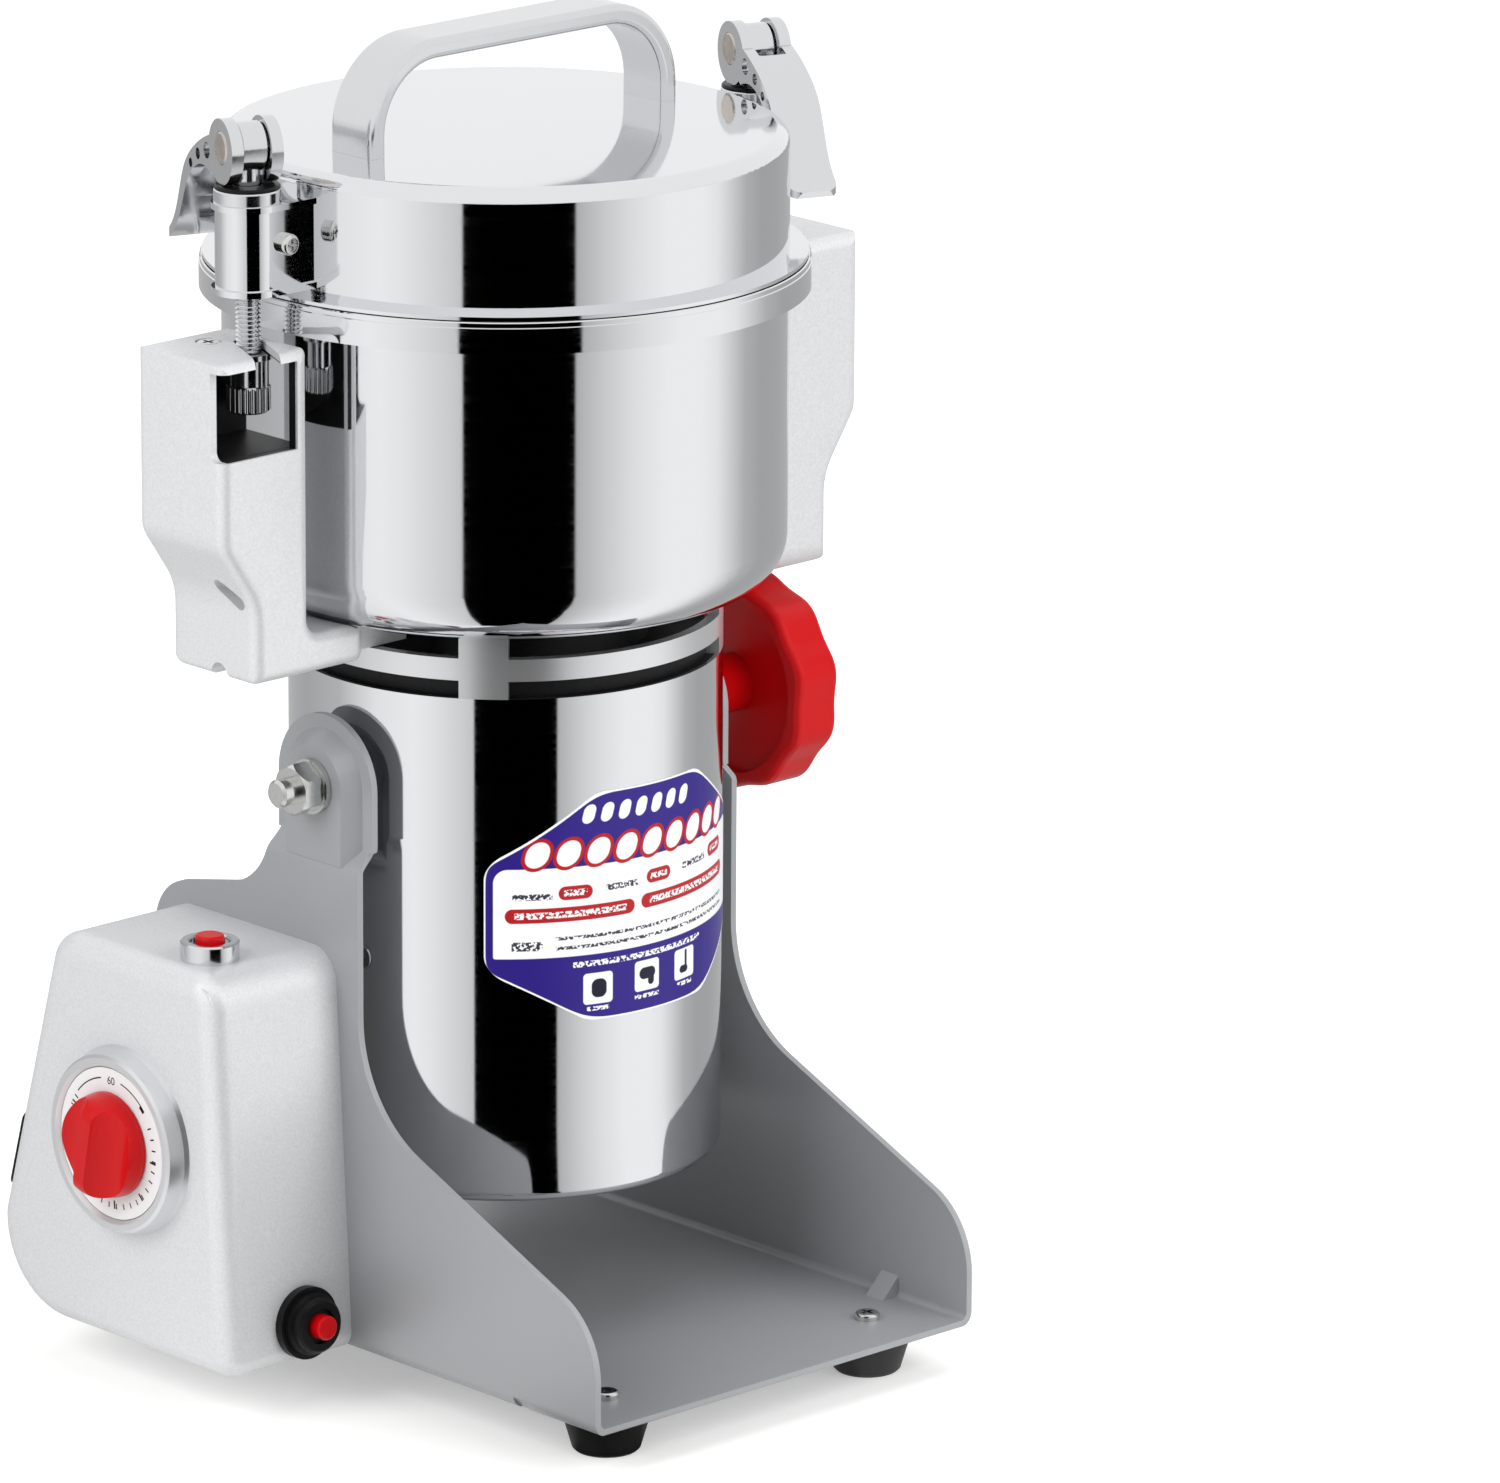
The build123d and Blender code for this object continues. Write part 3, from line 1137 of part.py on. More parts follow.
def domed_can(radius, low, edge_z, bend):
    """Closed can with a slightly domed top whose edge is rounded."""
    ball = (radius ** 2 + LID_CROWN ** 2) / (2 * LID_CROWN)
    top = Pos(0, 0, edge_z + LID_CROWN - ball) * Sphere(ball)
    shape = rod(radius, low, edge_z + 5) & top
    rim = [edge for edge in shape.edges() if edge.length > 4 * radius and edge.center().Z > low + 1]
    return fillet(rim, bend)


def lid_shell():
    """Spun lid with a flat flange, a straight wall and a softly rounded shoulder."""
    low, top, wall, bend = LID_UNDER, LID_TOP, LID_WALL, LID_SHOULDER_R
    shape = domed_can(LID_R, low, top, bend) + tube(LID_FLANGE_R, LID_R - wall, low, low + LID_FLANGE_T)
    return shape - domed_can(LID_R - wall, low - 1, top - wall, bend - wall)


def lid_handle():
    """Bow handle of rounded flat section."""
    half = HANDLE_LEN / 2
    base = LID_TOP - 0.2
    top = LID_TOP + HANDLE_H
    outer = rounded_polygon([(-half, base - 8), (-half, top), (half, top), (half, base - 8)],
                            [0, HANDLE_R, HANDLE_R, 0])
    thick = HANDLE_T
    inner = rounded_polygon([(-half + thick, base - 9), (-half + thick, top - thick),
                             (half - thick, top - thick), (half - thick, base - 9)],
                            [0, HANDLE_R - thick, HANDLE_R - thick, 0])
    shape = slab_y(outer, HANDLE_W / 2, -HANDLE_W / 2) - slab_y(inner, HANDLE_W, -HANDLE_W)
    edges = [edge for edge in shape.edges() if abs(abs(edge.center().Y) - HANDLE_W / 2) < 0.01
             and edge.center().Z > base - 7.9]
    shape = fillet(edges, HANDLE_EDGE_R)
    return shape - domed_can(LID_R, LID_TOP - 30, LID_TOP, LID_SHOULDER_R)


# ---- clamps: the left one is drawn, the right one is turned half way round ----------------
def clamp_plane():
    """Plane on the left clamp's pin: x along the lever outwards, y up, z along the pin."""
    yaw = radians(CLAMP_YAW)
    return Plane(origin=(-CLAMP_X, 0, PIN_H), x_dir=(sin(yaw), cos(yaw), 0), z_dir=(cos(yaw), -sin(yaw), 0))


def sleeve_outline(extra):
    """Plan of the bolt sleeve: round outside, flat sides running in to the lid."""
    radius = SLEEVE_R + extra
    flat = Pos(-CLAMP_X, 0) * Rectangle(CLAMP_X - LID_R + 4, 2 * radius, align=(Align.MIN, Align.CENTER))
    return Pos(-CLAMP_X, 0) * Circle(radius) + flat


def bolt_sleeve():
    """Drawn sleeve fixed to the lid's wall, with a flange at each end and a bore for the bolt."""
    low, high = SLEEVE_BOTTOM, SLEEVE_TOP
    shape = Pos(0, 0, low) * extrude(sleeve_outline(0), high - low)
    for start in (low, high - SLEEVE_FLANGE_T):
        flange = Pos(0, 0, start) * extrude(sleeve_outline(SLEEVE_FLANGE), SLEEVE_FLANGE_T)
        shape += flange
    shape -= rod(LID_R, low - 1, high + 1)
    shape -= rod(SLEEVE_BORE_R, low - 1, high + 1, -CLAMP_X)
    return shape


def sleeve_screw():
    """Small screw in the sleeve's front face."""
    x = -CLAMP_X + SLEEVE_SCREW_IN
    z = (SLEEVE_BOTTOM + SLEEVE_TOP) / 2 + 1.2
    head = Pos(x, -SLEEVE_R, z) * (Rot(90, 0, 0) * pan_head(3.0, 2.6, 0))
    return head


def clamp_collar():
    """Polished collar on top of the sleeve."""
    shape = tube(COLLAR_R_CLAMP, SLEEVE_BORE_R, SLEEVE_TOP, COLLAR_TOP, -CLAMP_X)
    return fillet(shape.edges().group_by(Axis.Z)[-1].sort_by(SortBy.LENGTH)[-1], 0.6)


def cam_seat():
    """Hard black washer that the lever's cams press on, dished towards its middle."""
    shape = tube(DISH_R, SLEEVE_BORE_R, COLLAR_TOP, DISH_TOP, -CLAMP_X)
    return chamfer(shape.edges().group_by(Axis.Z)[-1].sort_by(SortBy.LENGTH)[-1], DISH_RIM)


def eye_bolt():
    """Threaded bolt with a flat round eye for the lever's pin."""
    shank = Pos(-CLAMP_X, 0, 0) * threaded(BOLT_R, BOLT_CORE_R, BOLT_LOW, THREAD_TOP, THREAD_PITCH)
    neck = rod(BOLT_R, THREAD_TOP, PIN_H - 2, -CLAMP_X)
    eye = Pos(0, 0, -EYE_T / 2) * extrude(Circle(EYE_R), EYE_T)
    eye = clamp_plane() * chamfer(eye.edges(), 0.5)
    hole = clamp_plane() * (Pos(0, 0, -EYE_T) * extrude(Circle(PIN_R + RUN), 2 * EYE_T))
    return shank + neck + eye - hole


def lever_pin():
    """Pin through the eye and both cheeks."""
    length = 2 * CHEEK_OUT + 0.8
    pin = Pos(0, 0, -length / 2) * extrude(Circle(PIN_R), length)
    return clamp_plane() * chamfer(pin.edges(), 0.5)


def lever_outline():
    """Side view of the lever: round cam, then an arm that bends down and flares out."""
    rise, side = CAM_THROW * cos(radians(CAM_PHASE)), CAM_THROW * sin(radians(CAM_PHASE))
    cam = Pos(side, -rise) * Circle(CAM_R)
    spine = Spline((0, 4.0), (10, 1.6), (20, -3.0), (28.5, -10.0), (33, -19), (37.2, -27), (44.5, -32.4))
    back = Spline((43.9, -34.2), (35.8, -29.6), (30.7, -22), (26, -14), (19, -8.6), (8, -8.8))
    tip = Line((44.5, -32.4), (43.9, -34.2))
    root = Polyline((8, -8.8), (0, -4), (0, 4.0))
    return cam + make_face([spine, tip, back] + root.edges())


def lever_hollow():
    """Side view of the space between the lever's cheeks, under its thumb plate."""
    return make_face(Polyline((-16, -16), (-16, 16), (13.5, 16), (13.5, -2.4), (19, -5.6), (26.5, -11.8),
                              (30, -20), (24, -24), close=True))


def clamp_lever():
    """Cam lever: two cheeks with three holes each, joined by a broad thumb plate."""
    def across(outline, half):
        return Pos(0, 0, -half) * extrude(outline, 2 * half)

    shape = across(lever_outline(), CHEEK_OUT) - across(lever_hollow(), CHEEK_IN)
    plan = Pos(LEVER_TIP / 2 - 8, 0, 0) * Box(LEVER_TIP + 16, 80, 2 * CHEEK_OUT)
    shape = shape & fillet(plan.edges().filter_by(Axis.Y).group_by(Axis.X)[-1], LEVER_TIP_R)
    for x, y, radius in LEVER_HOLES:
        shape -= across(Pos(x, y) * Circle(radius), CHEEK_OUT + 1)
    return clamp_plane() * (shape - across(Circle(PIN_R + RUN), CHEEK_OUT + 1))


def nut_washer():
    """Washer between the arm's web and the knurled nut."""
    return tube(WASHER_R, BOLT_R + RUN, NUT_TOP, NUT_TOP + WASHER_T, -CLAMP_X)


def knurled_nut():
    """Knurled thumb nut with a plain polished shoulder."""
    shoulder = rod(NUT_SHOULDER_R, NUT_KNURL_TOP, NUT_TOP - SEAT)
    shoulder = fillet(shoulder.edges().group_by(Axis.Z)[-1], 0.6)
    low, high = NUT_LOW, NUT_KNURL_TOP
    grip = turned([(0, low), (NUT_R - 0.8, low), (NUT_R, low + 0.8), (NUT_R, high - 0.8),
                   (NUT_R - 0.8, high), (0, high)])
    groove = rod(2 * KNURL_DEPTH, low - 1, high + 1, NUT_R + KNURL_DEPTH)
    for index in range(KNURL_COUNT):
        grip -= Rot(0, 0, index * 360 / KNURL_COUNT) * groove
    shape = grip + shoulder - rod(BOLT_R + RUN, NUT_LOW - 1, NUT_TOP + 1)
    return Pos(-CLAMP_X, 0, 0) * shape


# ---- pivot --------------------------------------------------------------------------------
def friction_washers():
    """Plastic washers between the bosses and the ears."""
    start = TUBE_R + BOSS_PROUD
    end = PLATE_OUT - SHEET - SEAT
    washers = []
    for sign in (-1, 1):
        washer = rod_x(FRICTION_R, sign * start, sign * end, 0, PIVOT_H)
        washers.append(washer - rod_x(STUD_R, sign * (start - 5), sign * (end + 5), 0, PIVOT_H))
    return washers


def pivot_studs():
    """Studs fixed in the bosses: a short one for the nut and a long one for the lock knob."""
    inner = TUBE_IN - 6
    left_end = PLATE_OUT + PIVOT_WASHER_T + PIVOT_NUT_T + STUD_END
    left = Pos(-1, 0, 0) * rod_x(STUD_R, -inner, -left_end + 1, 0, PIVOT_H)
    right = rod_x(STUD_R, inner, PLATE_OUT + LOCK_HUB_L + 5, 0, PIVOT_H)
    cap_left = rod_x(STUD_R + 2.5, -inner + 3, -inner - 2, 0, PIVOT_H)
    cap_right = rod_x(STUD_R + 2.5, inner - 3, inner + 2, 0, PIVOT_H)
    left = chamfer(left.edges().sort_by(Axis.X)[0], 0.8)
    return [left + cap_left, right + cap_right]


def pivot_washer():
    """Steel washer under the pivot nut."""
    start = PLATE_OUT + SEAT
    washer = rod_x(PIVOT_WASHER_R, -start, -start - PIVOT_WASHER_T, 0, PIVOT_H)
    return washer - rod_x(STUD_R, -start + 5, -start - 9, 0, PIVOT_H)


def pivot_nut():
    """Hexagon nut on the left stud."""
    start = PLATE_OUT + SEAT + PIVOT_WASHER_T
    nut = hex_nut(NUT_AF, 0, PIVOT_NUT_T, STUD_R)
    return Pos(-start, 0, PIVOT_H) * (Rot(0, -90, 0) * nut)


def lock_knob():
    """Big lobed knob on the right stud, with the hub that presses on the ear's pad."""
    start = PLATE_OUT + SEAT
    face = start + LOCK_HUB_L
    mean = (LOCK_R + LOCK_VALLEY_R) / 2
    swing = (LOCK_R - LOCK_VALLEY_R) / 2
    points = []
    steps = 12
    for index in range(LOCK_LOBES * steps):
        angle = 2 * pi * index / (LOCK_LOBES * steps)
        radius = mean + swing * cos(LOCK_LOBES * (angle - radians(LOCK_TURN)))
        points.append((radius * cos(angle), radius * sin(angle)))
    outline = make_face(Spline(*points, periodic=True))
    disc = slab_x(Pos(0, PIVOT_H) * outline, face, face + LOCK_T)
    disc = fillet(disc.edges().filter_by(GeomType.BSPLINE), 2.5)
    hollow = slab_x(Pos(0, PIVOT_H) * Circle(LOCK_VALLEY_R - 4), face - 0.01, face + 3.0)
    hub = rod_x(LOCK_HUB_R, start, face + 6, 0, PIVOT_H)
    bore = rod_x(STUD_R + RUN, start - 1, PLATE_OUT + LOCK_HUB_L + 5.6, 0, PIVOT_H)
    return disc - hollow + hub - bore


# ---- rotor --------------------------------------------------------------------------------
def motor_shaft():
    """Stepped shaft from the lower bearing up into the bowl."""
    low = SHIELD_Z + 1
    neck = HUB_PLATE_TOP + 0.5
    top = BLADE_NUT_Z + BLADE_NUT_T + 2
    points = [(0, low), (SHAFT_LOW_R, low), (SHAFT_LOW_R, SHOULDER_Z), (SHAFT_R, SHOULDER_Z),
              (SHAFT_R, neck), (SHAFT_TOP_R, neck), (SHAFT_TOP_R, top), (0, top)]
    return turned(points)


def armature_core():
    """Laminated armature core."""
    shape = tube(ARMATURE_R, SHAFT_R, CORE_Z - 1, CORE_TOP + 1)
    for index in range(12):
        slot = Rot(0, 0, index * 30) * block(ARMATURE_R - 5, ARMATURE_R + 1, -1.2, 1.2, CORE_Z - 2,
                                             CORE_TOP + 2)
        shape -= slot
    return shape


def armature_windings():
    """Winding heads at both ends of the armature."""
    lower = tube(ARMATURE_R - 6, SHAFT_R, COMM_Z + COMM_H, CORE_Z - 1)
    upper = tube(ARMATURE_R - 6, SHAFT_R, CORE_TOP + 1, CORE_TOP + 9)
    return [lower, upper]


def commutator():
    """Segmented copper commutator."""
    shape = tube(COMM_R, SHAFT_R, COMM_Z, COMM_Z + COMM_H)
    slot = block(COMM_R - 1.2, COMM_R + 1, -0.3, 0.3, COMM_Z - 1, COMM_Z + COMM_H - 3)
    for index in range(24):
        shape -= Rot(0, 0, index * 15) * slot
    return shape


def cooling_fan():
    """Radial fan above the armature."""
    shape = tube(FAN_R, SHAFT_R, FAN_Z, FAN_Z + 1.6) + tube(14, SHAFT_R, FAN_Z, FAN_Z + FAN_H)
    for index in range(FAN_BLADES):
        vane = block(13, FAN_R - 1, -0.8, 0.8, FAN_Z + 1, FAN_Z + FAN_H)
        shape += Rot(0, 0, index * 360 / FAN_BLADES) * vane
    return shape


def blade(height, turn):
    """Flat grinding blade with sharpened leading edges."""
    half = BLADE_LEN / 2
    wide = BLADE_W / 2
    plan = Polygon((-half, -wide * 0.35), (-half + 10, -wide * 0.6), (-14, -wide * 0.75), (14, -wide),
                   (half - 4, -wide * 0.7), (half, wide * 0.35), (half - 10, wide * 0.6), (14, wide * 0.75),
                   (-14, wide), (-half + 4, wide * 0.7), align=None)
    shape = extrude(plan, BLADE_T) - rod(SHAFT_TOP_R, -1, BLADE_T + 1)
    edge = Pos(half * 0.6, -wide * 0.98, BLADE_T) * (Rot(38, 0, 0) * Box(half * 0.9, 8, 3.2))
    shape = shape - edge - Rot(0, 0, 180) * edge
    return Pos(0, 0, height) * (Rot(0, 0, turn) * shape)


def blades():
    """Two blades, turned a quarter from each other."""
    return [blade(LOWER_BLADE_Z, BLADE_TURN), blade(UPPER_BLADE_Z, BLADE_TURN + 90)]


def blade_spacers():
    """Spacers below and between the blades."""
    low = tube(SPACER_R, SHAFT_TOP_R, HUB_PLATE_TOP + 0.5, LOWER_BLADE_Z)
    high = tube(SPACER_R, SHAFT_TOP_R, LOWER_BLADE_Z + BLADE_T, UPPER_BLADE_Z)
    return [low, high]


def blade_nut():
    """Nut that holds the blades on the shaft."""
    return hex_nut(BLADE_NUT_AF, BLADE_NUT_Z, BLADE_NUT_Z + BLADE_NUT_T, SHAFT_TOP_R)


# ---- label --------------------------------------------------------------------------------
def label():
    """Thin eight-sided sticker round the front of the motor tube."""
    shell = tube(TUBE_R + LABEL_T, TUBE_R, LABEL_LOW - 1, LABEL_HIGH + 1)
    side = TUBE_R * sin(radians(LABEL_HALF_ANGLE))
    upper = LABEL_LOW + LABEL_END_HIGH
    lower = LABEL_LOW + LABEL_END_LOW
    points = [(-side, upper), (-LABEL_TOP_HALF, LABEL_HIGH), (LABEL_TOP_HALF, LABEL_HIGH), (side, upper),
              (side, lower), (LABEL_FOOT_HALF, LABEL_LOW), (-LABEL_FOOT_HALF, LABEL_LOW), (-side, lower)]
    window = rounded_polygon(points, [LABEL_CORNER_R] * len(points))
    return shell & slab_y(window, 0, -TUBE_R - 5)


def main():
    """Build every node."""
    os.makedirs("parts", exist_ok=True)
    nodes = {
        "frame": frame(), "rubber_feet": rubber_feet(), "foot_screws": foot_screws(),
        "wire_grommet": wire_grommet(), "control_box": control_box(), "box_screws": box_screws(),
        "dial_ring": dial_ring(), "dial_plate": dial_plate(), "timer_body": timer_body(),
        "timer_knob": timer_knob(), "power_switch": power_switch(), "power_button": power_button(),
        "reset_breaker": reset_breaker(), "reset_button": reset_button(), "power_inlet": power_inlet(),
        "motor_tube": motor_tube(), "bottom_cover": bottom_cover(), "mill_screws": mill_screws(),
        "lower_shield": lower_shield(), "bearings": [lower_bearing(), upper_bearing()],
        "stator": stator(), "field_coils": field_coils(), "brush_holders": brush_holders(),
        "carbon_brushes": carbon_brushes(), "end_bell": end_bell(), "cooling_band": cooling_band(),
        "bowl": bowl(), "hub_plate": hub_plate(), "shaft_seal": shaft_seal(), "label": label(),
        "clamp_arms": arms(), "arm_screws": arm_screws(),
        "pivot_washers": friction_washers() + [pivot_washer()], "pivot_studs": pivot_studs(),
        "pivot_nut": pivot_nut(), "lock_knob": lock_knob(),
        "motor_shaft": motor_shaft(), "armature": [armature_core()] + armature_windings(),
        "commutator": commutator(), "cooling_fan": cooling_fan(), "blades": blades(),
        "blade_spacers": blade_spacers(), "blade_nut": blade_nut(),
        "lid_gasket": lid_gasket(), "lid_shell": lid_shell(), "lid_handle": lid_handle(),
        "bolt_sleeves": both_sides(bolt_sleeve()), "clamp_collars": both_sides(clamp_collar()),
        "cam_seats": both_sides(cam_seat()), "sleeve_screws": both_sides(sleeve_screw()),
    }
    clamp = {"eye_bolt": eye_bolt(), "lever_pin": lever_pin(), "clamp_lever": clamp_lever(),
             "nut_washer": nut_washer(), "knurled_nut": knurled_nut()}
    for name, shape in clamp.items():
        nodes[name + "_left"], nodes[name + "_right"] = both_sides(shape)
    for name, shape in nodes.items():
        save(name, shape)


main()
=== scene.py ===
"""Looks of a tilting electric grain mill: its finishes, the print on its dial and label, and a studio."""

from math import atan2, cos, radians, sin

import bpy
from bpy.props import FloatProperty, FloatVectorProperty, PointerProperty
from mathutils import Matrix, Vector


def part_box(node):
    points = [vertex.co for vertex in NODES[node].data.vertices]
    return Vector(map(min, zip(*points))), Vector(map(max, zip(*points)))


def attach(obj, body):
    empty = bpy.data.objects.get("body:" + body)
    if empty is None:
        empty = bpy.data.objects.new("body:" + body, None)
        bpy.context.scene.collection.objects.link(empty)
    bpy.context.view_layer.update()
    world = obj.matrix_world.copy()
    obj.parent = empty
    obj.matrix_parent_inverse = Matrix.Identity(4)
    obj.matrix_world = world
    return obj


bl_info = {
    "name": "Tilting Grain Mill",
    "version": (1, 0, 0),
    "blender": (4, 5, 0),
    "location": "View3D > Sidebar > Grain Mill",
    "description": "Finishes, dial print, label print and studio of a tilting electric grain mill",
    "category": "Object",
}

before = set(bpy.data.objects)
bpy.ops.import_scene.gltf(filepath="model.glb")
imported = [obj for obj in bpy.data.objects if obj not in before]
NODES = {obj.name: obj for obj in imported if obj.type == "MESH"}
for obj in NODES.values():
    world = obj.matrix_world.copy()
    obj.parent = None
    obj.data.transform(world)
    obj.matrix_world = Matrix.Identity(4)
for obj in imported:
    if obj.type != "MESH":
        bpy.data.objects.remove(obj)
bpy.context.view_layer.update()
MM = 0.001


def linear(code):
    """An sRGB hex colour as linear red, green and blue, with an alpha of 1."""
    parts = [int(code[index:index + 2], 16) / 255 for index in (1, 3, 5)]
    return tuple(p / 12.92 if p <= 0.04045 else ((p + 0.055) / 1.055) ** 2.4 for p in parts) + (1.0,)


def middle(node):
    """Centre of a CAD node's box."""
    low, high = (Vector(corner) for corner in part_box(node))
    return (low + high) / 2


AXIS = middle("motor_shaft")
TUBE_R = (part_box("cooling_band")[1][0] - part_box("cooling_band")[0][0]) / 2


# ---- sizes and colours that a user would change ---------------------------------------------
def colour(name, description, code):
    """A colour property whose default is an sRGB hex colour."""
    return FloatVectorProperty(name=name, description=description, subtype="COLOR", size=4, min=0, max=1,
                               default=linear(code))


class MillFinishes(bpy.types.PropertyGroup):
    """Colours of the mill's painted, moulded and polished surfaces."""
    paint: colour("Frame paint", "Powder coat of the bent sheet frame", "#A2A4A7")
    casting: colour("Silver casting paint", "Paint of the control box and the arms", "#DFE0E2")
    steel: colour("Polished steel", "Bowl, lid, band and motor tube", "#E3E4E6")
    red: colour("Red plastic", "Timer knob, lock knob and buttons", "#C8050C")
    violet: colour("Label violet", "Ground of the printed label", "#2B1880")


class DialPrint(bpy.types.PropertyGroup):
    """Sizes of the marks printed on the timer's dial."""
    ink_height: FloatProperty(name="Ink height", description="How far the print stands off the dial",
                              subtype="DISTANCE", unit="LENGTH", default=0.06 * MM)
    mark_ring: FloatProperty(name="Mark ring", description="Radius of the marks' outer ends",
                             subtype="DISTANCE", unit="LENGTH", default=18.9 * MM)
    mark_length: FloatProperty(name="Mark length", description="Length of a short mark",
                               subtype="DISTANCE", unit="LENGTH", default=1.6 * MM)
    mark_width: FloatProperty(name="Mark width", description="Width of a short mark",
                              subtype="DISTANCE", unit="LENGTH", default=0.42 * MM)
    number_height: FloatProperty(name="Number height", description="Height of the printed number",
                                 subtype="DISTANCE", unit="LENGTH", default=2.3 * MM)


class StudioLight(bpy.types.PropertyGroup):
    """Strength of the studio's lamps."""
    key: FloatProperty(name="Key light", description="Power of the large lamp on the left",
                       default=18.0, min=0)
    fill: FloatProperty(name="Fill light", description="Power of the lamp on the right", default=17.0, min=0)
    top: FloatProperty(name="Top light", description="Power of the overhead lamp", default=10.0, min=0)


GROUPS = {"mill_finishes": MillFinishes, "mill_dial": DialPrint, "mill_studio": StudioLight}


# ---- node helpers ---------------------------------------------------------------------------
NOISE_LOW, NOISE_HIGH = 0.3, 0.7    # range in which most of a noise pattern lies


def put(tree, kind, inputs=None, **settings):
    """Add a node with its settings; each input is a value or another node's socket."""
    node = tree.nodes.new(kind)
    for name, value in settings.items():
        setattr(node, name, value)
    for key, value in (inputs or {}).items():
        if isinstance(value, bpy.types.NodeSocket):
            tree.links.new(value, node.inputs[key])
        else:
            node.inputs[key].default_value = value
    return node


def new_finish(name, **values):
    """A material with one Principled shader whose sockets hold the given constants."""
    material = bpy.data.materials.new(name)
    material.use_nodes = True
    tree = material.node_tree
    shader = tree.nodes["Principled BSDF"]
    for key, value in values.items():
        shader.inputs[key.replace("_", " ")].default_value = value
    return material, tree, shader


def grain(tree, size, detail=2.0, roughness=0.5):
    """Noise on the object's own coordinates, with grains of a size in metres."""
    place = put(tree, "ShaderNodeTexCoord").outputs["Object"]
    return put(tree, "ShaderNodeTexNoise", {"Vector": place, "Scale": 1 / size, "Detail": detail,
                                            "Roughness": roughness}).outputs["Fac"]


def add_bump(tree, shader, height, strength, depth):
    """Raise and sink the surface by a pattern, to a depth in metres."""
    bump = put(tree, "ShaderNodeBump", {"Height": height, "Strength": strength, "Distance": depth})
    tree.links.new(bump.outputs["Normal"], shader.inputs["Normal"])


def vary(tree, fac, low, high, socket):
    """Drive a socket between two values by a pattern."""
    spread = put(tree, "ShaderNodeMapRange", {"Value": fac, "From Min": NOISE_LOW, "From Max": NOISE_HIGH,
                                              "To Min": low, "To Max": high})
    tree.links.new(spread.outputs["Result"], socket)


def stamped(tree, ground, mask, ink):
    """An ink laid over a colour through a mask."""
    return put(tree, "ShaderNodeMix", {0: mask, 6: ground, 7: ink}, data_type="RGBA").outputs[2]


def vary_colour(tree, fac, first, second, socket):
    """Drive a colour socket between two colours by a pattern."""
    tree.links.new(stamped(tree, first, fac, second), socket)


def shade(tint, share):
    """A linear colour made darker or lighter by a share."""
    return tuple(min(part * share, 1.0) for part in tint[:3]) + (1.0,)


def wear(material, *nodes):
    """Give a finish to CAD nodes."""
    for node in nodes:
        for slot in NODES[node].material_slots:
            slot.material = material


# ---- finishes -------------------------------------------------------------------------------
def powder_coat(tint):
    """Grey powder coat, baked on sheet steel: satin, with a faint orange peel a millimetre across."""
    material, tree, shader = new_finish("grey_powder_coat", Roughness=0.38, Metallic=0.25)
    vary_colour(tree, grain(tree, 40 * MM), shade(tint, 0.97), shade(tint, 1.04), shader.inputs["Base Color"])
    add_bump(tree, shader, grain(tree, 1.1 * MM), 0.10, 0.2 * MM)
    return material


def sand_paint(tint):
    """Silver paint sprayed on a sand casting: fine sparkling grains half a millimetre across."""
    material, tree, shader = new_finish("silver_sand_paint", Metallic=0.35, Roughness=0.42)
    flakes = grain(tree, 0.7 * MM, detail=1.0)
    vary_colour(tree, flakes, shade(tint, 0.88), shade(tint, 1.10), shader.inputs["Base Color"])
    add_bump(tree, shader, grain(tree, 1.0 * MM, detail=3.0), 0.28, 0.2 * MM)
    return material


# Room of an arm's pocket, darkened with painted shade, from the mill's axis, in millimetres: middle and half
# size out, back and up
POCKET_ROOM = ((102.8, 14.4), (4.5, 12.8), (289.4, 12.6))


def pocket_shade_mask(tree):
    """Mask of painted shade: white inside the arms' two pockets, which face opposite ways, and black
    elsewhere.
    """
    place = put(tree, "ShaderNodeTexCoord").outputs["Object"]
    moved = put(tree, "ShaderNodeVectorMath", {0: place, 1: (-AXIS.x, -AXIS.y, 0)},
                operation="ADD").outputs[0]
    parts = put(tree, "ShaderNodeSeparateXYZ", {0: moved}).outputs
    out = put(tree, "ShaderNodeMath", {0: parts[0]}, operation="ABSOLUTE").outputs[0]
    side = put(tree, "ShaderNodeMath", {0: parts[0]}, operation="SIGN").outputs[0]
    back = put(tree, "ShaderNodeMath", {0: parts[1], 1: side}, operation="MULTIPLY").outputs[0]
    whole = 1.0
    for socket, (centre, half) in zip((out, back, parts[2]), POCKET_ROOM):
        inside = put(tree, "ShaderNodeMath", {0: socket, 1: centre * MM, 2: half * MM}, operation="COMPARE")
        whole = put(tree, "ShaderNodeMath", {0: inside.outputs[0], 1: whole}, operation="MULTIPLY").outputs[0]
    return whole


def arm_paint(tint):
    """Silver sand paint outside, and painted shade, a near-black colour, inside the nuts' pockets."""
    material = sand_paint(tint)
    material.name = "silver_sand_paint_with_bare_pockets"
    tree = material.node_tree
    colour_in = tree.nodes["Principled BSDF"].inputs["Base Color"]
    painted = colour_in.links[0].from_socket
    # Painted shade: a near-black colour laid over the paint inside the pockets.
    tree.links.new(stamped(tree, painted, pocket_shade_mask(tree), linear("#1E1E1F")), colour_in)
    return material


def mirror_steel(tint):
    """Stainless steel, buffed while it turns: a mirror with faint rings round the axis."""
    material, tree, shader = new_finish("mirror_stainless", Metallic=1.0, Base_Color=tint)
    place = put(tree, "ShaderNodeTexCoord").outputs["Object"]
    rings = put(tree, "ShaderNodeMapping", {"Vector": place, "Scale": (6.0, 6.0, 900.0)}).outputs["Vector"]
    lines = put(tree, "ShaderNodeTexNoise", {"Vector": rings, "Scale": 1.0, "Detail": 2.0}).outputs["Fac"]
    vary(tree, lines, 0.035, 0.075, shader.inputs["Roughness"])
    add_bump(tree, shader, lines, 0.015, 0.02 * MM)
    return material


